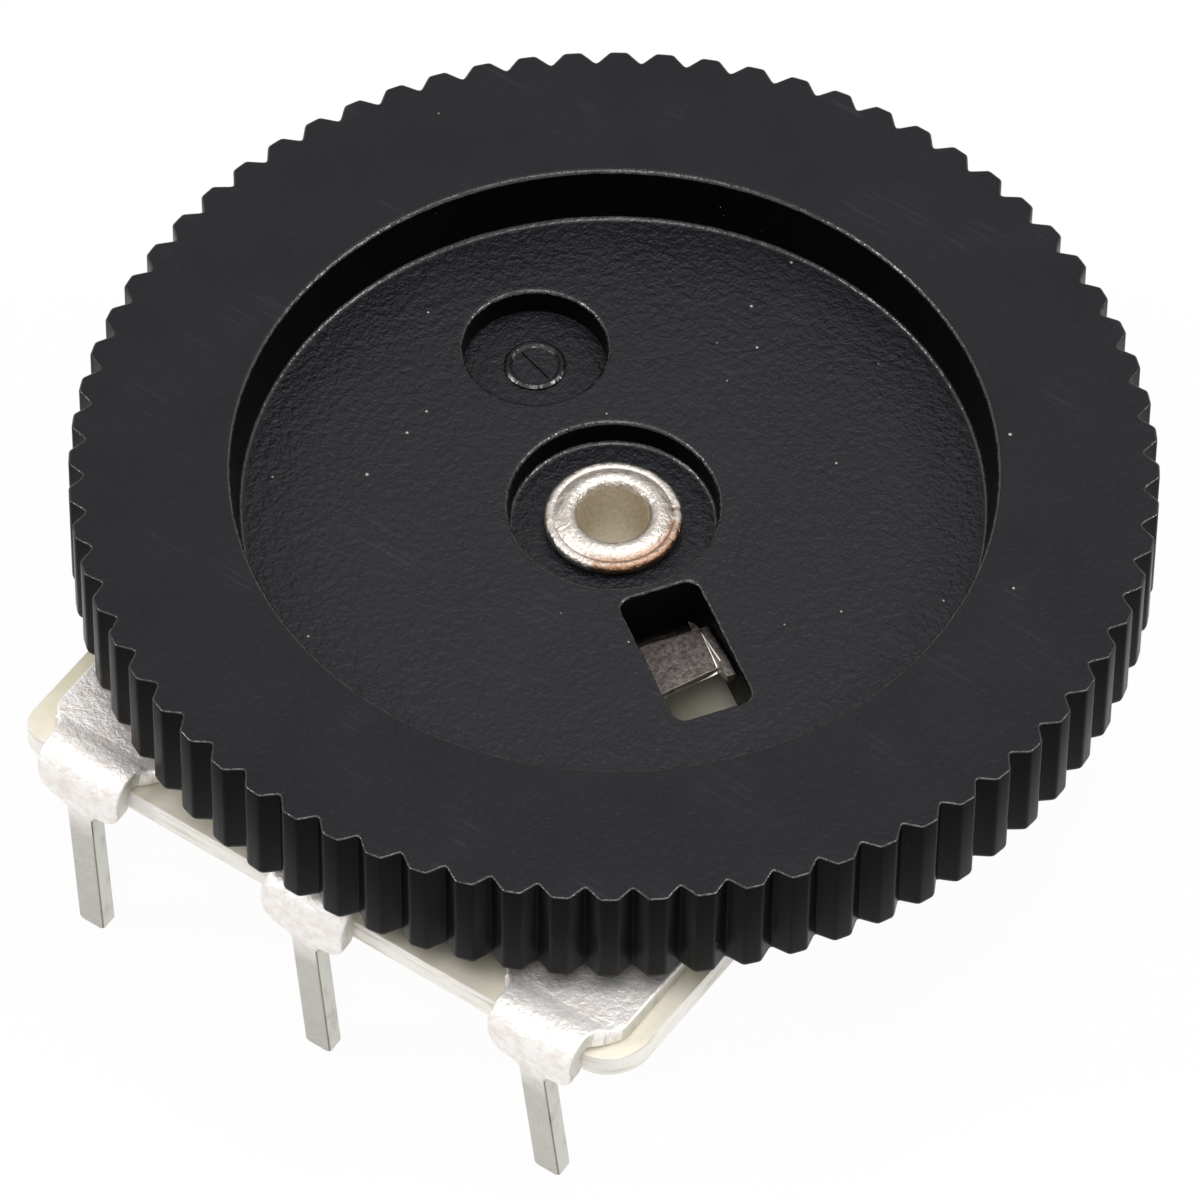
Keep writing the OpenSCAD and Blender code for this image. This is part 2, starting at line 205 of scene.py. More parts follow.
def select_only(piece: Object, *others: Object) -> None:
    """Select one object, which becomes active, and any others with it.

    Args:
        piece: the active object.
        others: those selected with it.
    """
    deselect()
    for each in (piece, *others):
        each.select_set(True)
    bpy.context.view_layer.objects.active = piece


def settle(piece: Object) -> None:
    """Put an object's place, turn and size into its mesh."""
    select_only(piece)
    bpy.ops.object.transform_apply(location=True, rotation=True, scale=True)


def pick(piece: Object, kind: Pick, test: Callable[[Any], bool] = lambda part: True) -> None:
    """Enter edit mode with only those parts selected that pass a test.

    Args:
        piece: the object.
        kind: vertices, edges or faces.
        test: says of a vertex, edge or polygon whether it is picked.
    """
    select_only(piece)
    bpy.ops.object.mode_set(mode="EDIT")
    bpy.ops.mesh.select_mode(type=kind.value)
    bpy.ops.mesh.select_all(action="DESELECT")
    bpy.ops.object.mode_set(mode="OBJECT")
    mesh = piece.data
    parts = {Pick.VERTICES: mesh.vertices, Pick.EDGES: mesh.edges, Pick.FACES: mesh.polygons}
    for part in parts[kind]:
        part.select = bool(test(part))
    bpy.ops.object.mode_set(mode="EDIT")


def ends(piece: Object, edge: bpy.types.MeshEdge) -> list[Vector]:
    """The two end points of an edge."""
    return [piece.data.vertices[i].co for i in edge.vertices]


def extrude(move: Sequence[float]) -> None:
    """Extrude what is selected by a move in millimetres."""
    bpy.ops.mesh.extrude_region_move(TRANSFORM_OT_translate={"value": move})


def round_over(radius: float, size: Pair, middle: Point, steps: int) -> None:
    """Extrude what is selected round a quarter circle.

    Args:
        radius: above zero it rises and grows, below zero it falls and shrinks.
        size: the selection's length and width.
        middle: what it grows about.
        steps: how many rows there are.
    """
    out, up = 0.0, 0.0
    for i in range(1, steps + 1):
        turn = math.radians(90 * i / steps)
        reach, rise = radius * (1 - math.cos(turn)), radius * math.sin(turn)
        extrude((0, 0, rise - up))
        growth = [(side + 2 * reach) / (side + 2 * out) for side in size]
        bpy.ops.transform.resize(value=(*growth, 1), center_override=middle)
        out, up = reach, rise


def spin(steps: int, degrees: float, copies: bool = False) -> None:
    """Spin what is selected clockwise round the Z axis, as faces or as copies."""
    bpy.ops.mesh.spin(steps=steps, dupli=copies, angle=math.radians(degrees),
                      center=(0, 0, 0), axis=(0, 0, 1))


def weld(piece: Object) -> None:
    """Merge a mesh's doubles and turn all its faces outwards.

    Args:
        piece: the object.
    """
    pick(piece, Pick.VERTICES)
    bpy.ops.mesh.remove_doubles(threshold=1e-4)
    bpy.ops.mesh.normals_make_consistent(inside=False)
    deselect()


def trace(name: str, points: Sequence[Point], line: Line = Line.OPEN) -> Object:
    """Draw a line of edges by extruding one vertex from point to point.

    Args:
        name: its name.
        points: its corners, in millimetres.
        line: how it ends.

    Returns:
        The line, at the origin.
    """
    deselect()
    bpy.ops.mesh.primitive_plane_add(size=1, location=(0, 0, 0))
    piece = bpy.context.object
    piece.name = name
    bpy.ops.object.mode_set(mode="EDIT")
    bpy.ops.mesh.select_mode(type="VERT")
    bpy.ops.mesh.select_all(action="SELECT")
    bpy.ops.mesh.merge(type="CENTER")
    bpy.ops.transform.translate(value=points[0])
    for before, after in zip(points, points[1:]):
        extrude(Vector(after) - Vector(before))
    if line is not Line.OPEN:
        last = len(points) - 1
        pick(piece, Pick.VERTICES, lambda v: v.index in (0, last))
        bpy.ops.mesh.edge_face_add()
    if line is Line.FILLED:
        pick(piece, Pick.EDGES)
        bpy.ops.mesh.edge_face_add()
    deselect()
    return piece


def turned(name: str, points: Sequence[Point], line: Line, steps: int) -> Object:
    """Spin a half section once round the Z axis.

    Args:
        name: the shape's name.
        points: the section's corners, in millimetres.
        line: whether it is open or closed.
        steps: segments of the full turn.

    Returns:
        The shape, with its seam welded.
    """
    piece = trace(name, points, line)
    pick(piece, Pick.EDGES)
    spin(steps, 360)
    weld(piece)
    return piece


def cylinder(radius: float, depth: float, middle: Point, segments: int) -> Object:
    """Add an upright cylinder with its place in its mesh.

    Args:
        radius: its radius.
        depth: its height.
        middle: its middle.
        segments: how many sides it has.

    Returns:
        A closed mesh.
    """
    deselect()
    bpy.ops.mesh.primitive_cylinder_add(vertices=segments, radius=radius, depth=depth,
                                        location=middle)
    settle(bpy.context.object)
    return bpy.context.object


def apply_modifier(piece: Object, kind: str, **settings: Any) -> None:
    """Add a modifier with its settings and apply it to the mesh.

    Args:
        piece: the object.
        kind: the modifier's type.
        settings: its settings by property name.
    """
    select_only(piece)
    bpy.ops.object.modifier_add(type=kind)
    modifier = piece.modifiers[-1]
    for key, value in settings.items():
        setattr(modifier, key, value)
    bpy.ops.object.modifier_apply(modifier=modifier.name)


def combine(piece: Object, other: Object, tool: Tool) -> None:
    """Cut a closed mesh out of a piece or add it on, and remove it."""
    apply_modifier(piece, "BOOLEAN", object=other, operation=tool.value, solver="EXACT")
    bpy.data.objects.remove(other)


def join(piece: Object, other: Object) -> None:
    """Take the loose parts of another mesh into a piece."""
    select_only(piece, other)
    bpy.ops.object.join()


def arc(centre: Pair, radius: float, start: float, end: float, steps: int) -> list[Pair]:
    """Points along an arc, both ends among them.

    Args:
        centre: its middle.
        radius: its radius.
        start: its first angle in degrees.
        end: its last angle in degrees.
        steps: how many segments it has.

    Returns:
        The points.
    """
    angles = [math.radians(start + (end - start) * i / steps) for i in range(steps + 1)]
    return [(centre[0] + radius * math.cos(a), centre[1] + radius * math.sin(a)) for a in angles]


def on_circle(radius: float, degrees: float) -> Vector:
    """The point of a circle round the origin at an angle."""
    turn = math.radians(degrees)
    return Vector((radius * math.cos(turn), radius * math.sin(turn)))


def upright(section: Sequence[Pair], degrees: float = 0.0) -> list[Point]:
    """Stand the points of a half section up in the plane at an angle round Z."""
    return [(*on_circle(r, degrees), z) for r, z in section]


def share_out(piece: Object, finish_of: Callable[[Face], int]) -> None:
    """Give each face of a piece the number of its finish."""
    for face in piece.data.polygons:
        face.material_index = finish_of(face)


def dress(piece: Object, materials: Sequence[Material]) -> None:
    """Put materials in a piece's slots, keeping which face uses which slot.

    Args:
        piece: the object.
        materials: one for each slot.
    """
    used = [face.material_index for face in piece.data.polygons]
    piece.data.materials.clear()
    for material in materials:
        piece.data.materials.append(material)
    for face, index in zip(piece.data.polygons, used):
        face.material_index = min(index, len(materials) - 1)


@dataclass(frozen=True)
class Placing:
    """How a finished piece joins the frame.

    Attributes:
        body: the rigid body that the piece rides on.
        node: the CAD node that it stands for.
        slot: the record's material slot; not used.
    """

    body: Body
    node: str
    slot: str

    def finish(self, piece: Object, materials: Sequence[Material],
               smooth_angle: float = 32) -> None:
        """Scale a piece to metres, smooth it, dress it and place it in the frame.

        Args:
            piece: the object, in millimetres.
            materials: one for each of its face slots.
            smooth_angle: edges sharper than this many degrees stay sharp.
        """
        piece.scale = (MM,) * 3
        settle(piece)
        bpy.ops.object.shade_smooth_by_angle(angle=math.radians(smooth_angle))
        apply_modifier(piece, "WEIGHTED_NORMAL", keep_sharp=True)
        dress(piece, materials)
        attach(piece, self.body.value)
        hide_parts(self.node)
        log.info("%s: %d faces on %s", piece.name, len(piece.data.polygons), self.body.value)


# ---- finishes ----


@dataclass(frozen=True)
class Grain:
    """A random pattern of soft cells.

    Attributes:
        per_mm: how many cells there are to a millimetre, along X, Y and Z.
        detail: how many layers of finer cells lie on them.
        grit: how strong the finer cells are.
        warp: how far the cells are pulled out of shape.
        turn: how far the whole pattern is turned round Z, in radians.
    """

    per_mm: Point
    detail: float = 2.0
    grit: float = 0.5
    warp: float = 0.0
    turn: float = 0.0

    def lay(self, tree: Tree, place: Socket) -> Socket:
        """Lay the grain on a piece.

        Args:
            tree: the material's node tree.
            place: the place in millimetres.

        Returns:
            Its height, from 0 to 1.
        """
        cells = add_node(tree, "Mapping", {
            "Rotation": (0, 0, self.turn), "Scale": self.per_mm, "Vector": place})
        noise = add_node(tree, "TexNoise", {
            "Scale": 1.0, "Detail": self.detail, "Roughness": self.grit, "Distortion": self.warp,
            "Vector": cells.outputs[0]})
        return noise.outputs["Fac"]


@dataclass(frozen=True)
class Dust:
    """Rare specks a few hundredths of a millimetre wide.

    Attributes:
        colour: their colour.
        faces: the faces that they lie on.
        spacing_mm: how far apart they could lie.
        share: how many of them are there, from 0 to 1.
        reach: the radii of the smallest and the largest, as shares of the spacing.
    """

    colour: str = "#a9a6a0"
    faces: Faces = Faces.LEVEL
    spacing_mm: float = 0.55
    share: float = 0.02
    reach: Pair = (0.012, 0.045)

    def lay(self, tree: Tree, place: Socket) -> tuple[str, Socket]:
        """Scatter the specks on a piece.

        Args:
            tree: the material's node tree.
            place: the place in millimetres.

        Returns:
            The dust's colour, and a socket that is 1 on a speck.
        """
        cells = add_node(tree, "TexVoronoi", {
            "voronoi_dimensions": self.faces.value, "Scale": 1 / self.spacing_mm, "Vector": place})
        chosen = add_node(tree, "SeparateColor", {0: cells.outputs["Color"]})
        reach = add_node(tree, "MapRange", {
            "To Min": self.reach[0], "To Max": self.reach[1], "Value": chosen.outputs[1]})
        near = add_node(tree, "Math", {
            "operation": "LESS_THAN", 0: cells.outputs["Distance"], 1: reach.outputs[0]})
        rare = add_node(tree, "Math", {
            "operation": "LESS_THAN", 1: self.share, 0: chosen.outputs[0]})
        speck = add_node(tree, "Math", {
            "operation": "MULTIPLY", 0: near.outputs[0], 1: rare.outputs[0]})
        return self.colour, speck.outputs[0]


@dataclass(frozen=True)
class Finish:
    """A named finish, with its patterns laid out in millimetres of the piece.

    Attributes:
        name: what the material is and how it was made.
        colour: its colour where the grain is low.
        second: its colour where the grain is high, if it has one.
        roughness: its mean roughness.
        metallic: how far it reflects as bare metal.
        specular: the level of its reflection.
        grain: the pattern of its tone and gloss.
        share: the grain's heights between which the second colour comes in.
        gloss: what the low and the high grain add to the roughness.
        gloss_share: the grain's heights that count as low and high for that.
        relief: the pattern of its bumps, if not the grain.
        relief_mm: how high its bumps are.
        dust: the dust on it, if any.
    """

    name: str
    colour: str
    second: str
    roughness: float
    metallic: float = 0.0
    specular: float = 0.5
    grain: Grain = Grain((1.0, 1.0, 1.0))
    share: Pair = (0.0, 1.0)
    gloss: Pair = (-0.1, 0.15)
    gloss_share: Pair = (0.0, 1.0)
    relief: Optional[Grain] = None
    relief_mm: float = 0.01
    dust: Optional[Dust] = None

    def layers(self, tree: Tree, place: Socket, grain: Socket) -> Layers:
        """List the colours that lie over the first.

        Args:
            tree: the material's node tree.
            place: the place in millimetres; not used here.
            grain: the grain's height.

        Returns:
            Each colour, with the socket for how much of it there is.
        """
        if not self.second:
            return []
        share = add_node(tree, "MapRange", {
            "From Min": self.share[0], "From Max": self.share[1], "Value": grain})
        return [(self.second, share.outputs[0])]

    def build(self) -> Material:
        """Build the material.

        Returns:
            The material.
        """
        material = bpy.data.materials.new(self.name)
        tree = empty_tree(material)
        metres = add_node(tree, "TexCoord")
        place = add_node(tree, "Mapping", {
            "Scale": (1 / MM,) * 3, "Vector": metres.outputs["Object"]}).outputs[0]
        grain = self.grain.lay(tree, place)
        relief = self.relief.lay(tree, place) if self.relief else grain
        bump = add_node(tree, "Bump", {
            "Strength": 1.0, "Distance": self.relief_mm * MM, "Height": relief})
        links = {"Normal": bump.outputs[0]}
        if any(self.gloss):
            gloss = add_node(tree, "MapRange", {
                "From Min": self.gloss_share[0], "From Max": self.gloss_share[1],
                "To Min": self.roughness + self.gloss[0], "To Max": self.roughness + self.gloss[1],
                "Value": grain})
            links["Roughness"] = gloss.outputs[0]
        layers = self.layers(tree, place, grain)
        if self.dust:
            layers.append(self.dust.lay(tree, place))
        under: dict[Any, Socket] = {}
        for colour, share in layers:
            mixed = add_node(tree, "Mix", {
                "data_type": "RGBA", 6: linear(self.colour), 7: linear(colour), "Factor": share,
                **under})
            under = {6: mixed.outputs[2]}
            links["Base Color"] = mixed.outputs[2]
        shader = add_node(tree, "BsdfPrincipled", {
            "Base Color": linear(self.colour), "Roughness": self.roughness,
            "Metallic": self.metallic, "Specular IOR Level": self.specular, **links})
        add_node(tree, "OutputMaterial", {"Surface": shader.outputs[0]})
        return material


@dataclass(frozen=True)
class MouldedBlack(Finish):
    """PBT, injection moulded black in a spark-eroded tool.

    The eroded steel leaves a fine grain, which gives a soft satin sheen in place
    of a mirror. It is drawn 0.11 mm wide, coarser than it is, so that it shows. The
    flow of the melt leaves broad, faint clouds, and a few specks of dust lie on it.
    """

    colour: str = "#0c0c11"
    second: str = "#111116"
    roughness: float = 0.38
    specular: float = 0.2
    grain: Grain = Grain((0.7,) * 3, 3.0)
    gloss: Pair = (-0.06, 0.08)
    gloss_share: Pair = (0.3, 0.7)
    relief: Grain = Grain((1 / 0.11,) * 3, 3.0, 0.62)
    relief_mm: float = 0.016
    dust: Dust = Dust()
    rubbed: str = "#333338"
    rub_lines: Grain = Grain((0.5, 14.0, 1.0), turn=-0.93)
    rub_line_share: Pair = (0.56, 0.66)
    rub_patch_share: Pair = (0.57, 0.66)
    rub_strength: float = 0.3

    def layers(self, tree: Tree, place: Socket, grain: Socket) -> Layers:
        """Add the rubbing in the tray, fine pale lines in a few patches.

        Args:
            tree: the material's node tree.
            place: the place in millimetres.
            grain: the clouds' height.

        Returns:
            The clouds' tone, and the rubbed colour.
        """
        lines = add_node(tree, "MapRange", {
            "From Min": self.rub_line_share[0], "From Max": self.rub_line_share[1],
            "Value": self.rub_lines.lay(tree, place)})
        patches = add_node(tree, "MapRange", {
            "From Min": self.rub_patch_share[0], "From Max": self.rub_patch_share[1],
            "To Max": self.rub_strength, "Value": grain})
        rub = add_node(tree, "Math", {
            "operation": "MULTIPLY", 0: lines.outputs[0], 1: patches.outputs[0]})
        return super().layers(tree, place, grain) + [(self.rubbed, rub.outputs[0])]


@dataclass(frozen=True)
class ShadedFlankBlack(Finish):
    """PBT flank, drawn out of the toothed ring of the tool.

    Its colour is a deeper black and its reflection weaker than the faces':
    painted shade, which makes the flanks, recess walls and lower rim render
    darker. Faint upright drag lines and a speck of dust here and there lie on it.
    The lines are drawn 0.05 mm apart, coarser than they are, so that they show.
    """

    # painted shade: a deeper black than the faces' #0c0c11, with a weak reflection
    colour: str = "#050505"
    second: str = ""
    roughness: float = 0.3
    specular: float = 0.055
    grain: Grain = Grain((20.0, 20.0, 0.8))
    gloss: Pair = (-0.1, 0.12)
    relief_mm: float = 0.0015
    dust: Dust = Dust("#8d8a86", Faces.UPRIGHT, 0.3, 0.3)


@dataclass(frozen=True)
class StonedBlack(Finish):
    """PBT along the edges, where the tool was stoned smooth by hand.

    A stoned edge is glossier than the grained faces, so it catches the lamps in a
    thin bright line, which scratches break into dashes.
    """

    colour: str = "#0d0d0d"
    second: str = ""
    roughness: float = 0.18
    specular: float = 0.65
    grain: Grain = Grain((1 / 0.11,) * 3)
    gloss: Pair = (-0.1, 0.2)
    gloss_share: Pair = (0.35, 0.65)
    relief_mm: float = 0.022


@dataclass(frozen=True)
class TinnedSheet(Finish):
    """Brass sheet, hot-dip tinned and then stamped and bent.

    Dipped tin freezes with an orange-peel skin, which breaks each reflection up
    into bright and dark flecks, and a thin oxide on it lights up evenly. It is a
    little pink where the coat is thin, and its colour turns greyer and darker
    down the legs, below the bend.
    """

    colour: str = "#f9f7f4"
    second: str = "#ede3dd"
    roughness: float = 0.42
    metallic: float = 0.38
    grain: Grain = Grain((5.0,) * 3, 5.0, 0.66)
    share: Pair = (0.42, 0.62)
    gloss: Pair = (-0.1, 0.14)
    relief: Grain = Grain((1 / 0.1,) * 3, 3.0, 0.6, 0.3)
    relief_mm: float = 0.032
    dull: str = "#b4b1a9"
    dull_share: float = 0.85
    dull_z_mm: Pair = (-0.1, -0.8)

    def layers(self, tree: Tree, place: Socket, grain: Socket) -> Layers:
        """Add the dullness of the legs, which comes in below the bend.

        Args:
            tree: the material's node tree.
            place: the place in millimetres.
            grain: the coat's height.

        Returns:
            The thin coat's tone, and the dull colour.
        """
        height = add_node(tree, "SeparateXYZ", {0: place})
        low = add_node(tree, "MapRange", {
            "From Min": self.dull_z_mm[0], "From Max": self.dull_z_mm[1],
            "To Max": self.dull_share, "Value": height.outputs["Z"]})
        return super().layers(tree, place, grain) + [(self.dull, low.outputs[0])]


@dataclass(frozen=True)
class ShearedSheet(Finish):
    """The cut edge of the tinned sheet, stamped after the dip.

    The punch smears tin down the cut, which leaves it dull, a little green and
    streaked across the thickness.
    """

    colour: str = "#cfcfc7"
    second: str = "#b9b7ac"
    roughness: float = 0.46
    metallic: float = 1.0
    grain: Grain = Grain((9.0, 4.0, 2.0), 4.0)
    share: Pair = (0.5, 0.7)
    relief_mm: float = 0.006


@dataclass(frozen=True)
class PlatedRivet(Finish):
    """Brass eyelet, bright nickel plated and then rolled over by a punch.

    Plating keeps it brighter than the tinned sheet. The punch scuffs the crown,
    and where it stretched the rim the plating is worn through to warm brass.
    """

    colour: str = "#bfb8b1"
    second: str = "#8c6c55"
    roughness: float = 0.3
    metallic: float = 1.0
    grain: Grain = Grain((5.5,) * 3, 4.0, 0.65)
    gloss: Pair = (-0.05, 0.16)
    relief_mm: float = 0.045
    worn_at_mm: Point = (0.96, -0.36, 1.72)
    worn_mm: Pair = (1.9, 1.55)
    worn_z_mm: Pair = (1.88, 1.81)
    ragged_mm: float = 1.6

    def layers(self, tree: Tree, place: Socket, grain: Socket) -> Layers:
        """Wear the plating off round one spot, with a ragged edge.

        Args:
            tree: the material's node tree.
            place: the place in millimetres.
            grain: the height of the punch's marks.

        Returns:
            The worn colour, which stays below the crown.
        """
        apart = add_node(tree, "VectorMath", {
            "operation": "DISTANCE", 1: self.worn_at_mm, 0: place})
        ragged = add_node(tree, "Math", {
            "operation": "MULTIPLY_ADD", 1: self.ragged_mm, 0: grain, 2: apart.outputs["Value"]})
        height = add_node(tree, "SeparateXYZ", {0: place})
        wear, low = [add_node(tree, "MapRange", {
            "From Min": start, "From Max": end, "Value": measure}).outputs[0]
                     for (start, end), measure in ((self.worn_mm, ragged.outputs[0]),
                                                   (self.worn_z_mm, height.outputs["Z"]))]
        worn = add_node(tree, "Math", {"operation": "MULTIPLY", 0: wear, 1: low})
        return [(self.second, worn.outputs[0])]


@dataclass(frozen=True)
class SpringSheet(Finish):
    """Nickel silver, cold rolled to a spring temper and stamped.

    Rolling leaves it a faintly pink metal with a fine matt mottle. Its default
    colours are a dark grey: painted shade for the wiper's tongue deep in the
    dial's window.
    """

    # painted shade: dark grey in place of the bright metal, for the tongue in the window
    colour: str = "#282422"
    second: str = "#645d5a"
    roughness: float = 0.36
    metallic: float = 1.0
    grain: Grain = Grain((15.0,) * 3, 4.0, 0.7)
    share: Pair = (0.3, 0.66)
    gloss: Pair = (-0.1, 0.16)
    relief_mm: float = 0.014


@dataclass(frozen=True)
class LaminateFace(Finish):
    """Glass-and-paper epoxy laminate, pressed between polished plates.

    The resin skin is half matt, pale and a little green, with the felt of short
    glass faintly to be seen under it, 0.1 mm wide and stretched along the sheet.
    """

    colour: str = "#efe8d8"
    second: str = "#e2dcc4"
    roughness: float = 0.5
    specular: float = 0.45
    grain: Grain = Grain((1.3,) * 3, 4.0, 0.55)
    share: Pair = (0.36, 0.66)
    gloss: Pair = (-0.12, 0.12)
    relief: Grain = Grain((3.0, 10.0, 10.0), 3.0)
    relief_mm: float = 0.004
    dirt: str = "#8f8a74"
    dirt_per_mm: float = 1.1
    dirt_reach: Pair = (0.06, 0.03)

    def layers(self, tree: Tree, place: Socket, grain: Socket) -> Layers:
        """Add the specks of dirt pressed in with the felt.

        Args:
            tree: the material's node tree.
            place: the place in millimetres.
            grain: the patches' height.

        Returns:
            The patches' tone, and the dirt's colour.
        """
        cells = add_node(tree, "TexVoronoi", {"Scale": self.dirt_per_mm, "Vector": place})
        speck = add_node(tree, "MapRange", {
            "From Min": self.dirt_reach[0], "From Max": self.dirt_reach[1],
            "Value": cells.outputs["Distance"]})
        return super().layers(tree, place, grain) + [(self.dirt, speck.outputs[0])]


@dataclass(frozen=True)
class LaminateEdge(Finish):
    """The same laminate where the punch sheared it.

    Shearing opens the layers, so the edge is whiter than the face, dull all over,
    and streaked along its length in layers 0.09 mm thick.
    """

    colour: str = "#f4f0ea"
    second: str = "#cfc9bb"
    roughness: float = 0.75
    specular: float = 0.3
    grain: Grain = Grain((0.9, 0.9, 1 / 0.09), 4.0, 0.65)
    share: Pair = (0.5, 0.72)
    gloss: Pair = (0.0, 0.0)
    relief_mm: float = 0.02


@dataclass(frozen=True)
class PrintedInk(Finish):
    """Resistor carbon or silver paste, screen printed and baked.

    Baked ink is matt, and keeps the screen's threads as a faint texture.
    """

    colour: str = "#1b1a19"
    second: str = "#262422"
    roughness: float = 0.62
    grain: Grain = Grain((1 / 0.09,) * 3, 3.0)
    relief_mm: float = 0.003


# ---- sub-assemblies ----


@dataclass
class Dial:
    """The toothed dial: a ring with a deep recess, a window and a mould mark.

    All sizes are in millimetres, and angles in degrees.

    Attributes:
        wall_level: the most upright part of a wall's normal.
        edge_level: the most upright part of a rounded edge's normal.
    """

    radius: float = 8.0
    bottom: float = 1.1
    top: float = 3.0
    teeth: int = 72
    tooth_depth: float = 0.23
    tooth_land: float = 0.26
    tooth_phase: float = 0.73
    tip_round: float = 0.042
    root_round: float = 0.05
    rim_round: float = 0.12
    recess_top_r: float = 5.62
    recess_floor_r: float = 5.52
    floor: float = 2.05
    counterbore_r: float = 1.55
    counterbore_floor: float = 1.6
    bore_r: float = 0.78
    boss_r: float = 1.55
    boss_bottom: float = 0.87
    underside_r: float = 5.55
    edge: float = 0.08
    top_edge: float = 0.0275
    window_edge: float = 0.055
    window_start: float = 1.72
    window_size: Pair = (2.38, 1.22)
    window_corner: float = 0.2
    mark_reach: float = 3.22
    mark_r: float = 1.07
    mark_floor: float = 1.6
    disc_r: float = 0.465
    disc_h: float = 0.06
    disc_depth: float = 0.2
    disc_insets: Point = (0.045, 0.035, 0.045)
    disc_hollow: float = 0.045
    disc_bevel: float = 0.03
    line_angle: float = 18.0
    line_size: Point = (0.63, 0.024, 0.1)
    rib: Pair = (5.25, 5.6)
    rib_bottom: float = 0.55
    rib_half_angle: float = 20.0
    rib_overlap: float = 0.05
    rib_steps: int = 24
    round_segments: int = 64
    inner_steps: int = 4
    margin: float = 0.5
    wall_level: float = 0.3
    edge_level: float = 0.97
    placing: Placing = Placing(Body.DIAL, "thumbwheel", "black_plastic")

    @property
    def pitch(self) -> float:
        """Angle from one groove to the next, in degrees."""
        return 360 / self.teeth

    def tooth_line(self) -> list[Point]:
        """Corners of one tooth from groove to groove, at the top.

        Returns:
            The points, in millimetres.
        """
        half = (self.pitch - math.degrees(self.tooth_land / self.radius)) / 2
        root = Vector((self.radius - self.tooth_depth, 0.0))
        tip = on_circle(self.radius, half)
        land = on_circle(self.radius, half + math.degrees(self.tip_round / self.radius))
        flank = (tip - root).normalized()
        before, after = root + self.root_round * flank, tip - self.tip_round * flank
        foot = (root + Vector((before.x, 0.0))) / 2
        rounded = [(1 - t) ** 2 * after + 2 * t * (1 - t) * tip + t ** 2 * land
                   for t in (0, 1 / 3, 2 / 3, 1)]
        one_side = [foot, before] + rounded
        turn = math.radians(self.pitch)
        mirror = Matrix(((math.cos(turn), math.sin(turn)), (math.sin(turn), -math.cos(turn))))
        line = (one_side + [on_circle(self.radius, self.pitch / 2)]
                + [mirror @ p for p in reversed(one_side)])
        phase = Matrix.Rotation(math.radians(self.tooth_phase), 2)
        return [(*(phase @ p), self.top) for p in line]

    def rim_sector(self) -> Object:
        """Model the rim over one tooth, with its share of the flat faces.

        Returns:
            An open shell one tooth wide.
        """
        piece = trace("dial_moulding", self.tooth_line())
        pick(piece, Pick.EDGES)
        extrude((0, 0, self.bottom + self.rim_round - self.top))
        round_over(-self.rim_round, (2 * self.radius,) * 2, (0, 0, 0), 3)
        self.close_to_ring(piece, self.top, self.recess_top_r + self.edge)
        self.close_to_ring(piece, self.bottom, self.underside_r)
        return piece

    def close_to_ring(self, piece: Object, height: float, ring_r: float) -> None:
        """Fill the flat face between the tooth line and a ring.

        Args:
            piece: the rim sector.
            height: the face's height.
            ring_r: the ring's radius.
        """
        start, step = self.tooth_phase, self.pitch / self.inner_steps
        join(piece, trace("ring_part", [(*on_circle(ring_r, start + i * step), height)
                                        for i in range(self.inner_steps + 1)]))
        sides = []
        for angle in (math.radians(start), math.radians(start + self.pitch)):
            row = sorted((v.co.xy.length, v.index) for v in piece.data.vertices
                         if abs(v.co.z - height) < NEAR
                         and abs(math.atan2(v.co.y, v.co.x) - angle) < NEAR_ANGLE)
            sides.append((row[0][1], row[-1][1]))
        for side in sides:
            pick(piece, Pick.VERTICES, lambda v: v.index in side)
            bpy.ops.mesh.edge_face_add()
        pick(piece, Pick.EDGES,
             lambda edge: all(abs(end.z - height) < NEAR for end in ends(piece, edge)))
        bpy.ops.mesh.edge_face_add()
        deselect()

    def inner_section(self) -> list[Pair]:
        """Half section of what is round inside the rim, from the top.

        Returns:
            Radius and height of each corner.
        """
        e = self.edge
        return (arc((self.recess_top_r + e, self.top - e), e, 90, 180, 4)
                + arc((self.recess_floor_r - e, self.floor + e), e, 0, -90, 4)
                + arc((self.counterbore_r + e, self.floor - e), e, 90, 180, 4)
                + arc((self.counterbore_r - e, self.counterbore_floor + e), e, 0, -90, 4)
                + [(self.bore_r, self.counterbore_floor), (self.bore_r, self.boss_bottom),
                   (self.boss_r, self.boss_bottom), (self.boss_r, self.bottom),
                   (self.underside_r, self.bottom)])

    def cutter(self, outline: Sequence[Pair], middle_x: float, size: Pair,
               edge: float) -> Object:
        """Model the cutter of an opening that flares at the recess floor.

        Args:
            outline: its corners.
            middle_x: its middle, along X.
            size: its length and width.
            edge: how far it flares.

        Returns:
            A closed mesh that starts below the dial.
        """
        level = self.bottom - self.margin
        cutter = trace("cutter", [(x, y, level) for x, y in outline], Line.FILLED)
        pick(cutter, Pick.FACES)
        extrude((0, 0, self.floor - edge - level))
        round_over(edge, size, (middle_x, 0, 0), 4)
        extrude((0, 0, self.margin))
        weld(cutter)
        return cutter

    def window_cutter(self) -> Object:
        """Model the cutter of the window.

        Returns:
            A closed mesh.
        """
        c, (length, width) = self.window_corner, self.window_size
        near, far, side = self.window_start + c, self.window_start + length - c, width / 2 - c
        corners = ((near, -side, 180), (far, -side, 270), (far, side, 0), (near, side, 90))
        outline = [point for x, y, start in corners
                   for point in arc((x, y), c, start, start + 90, 6)]
        return self.cutter(outline, self.window_start + length / 2, self.window_size,
                           self.window_edge)

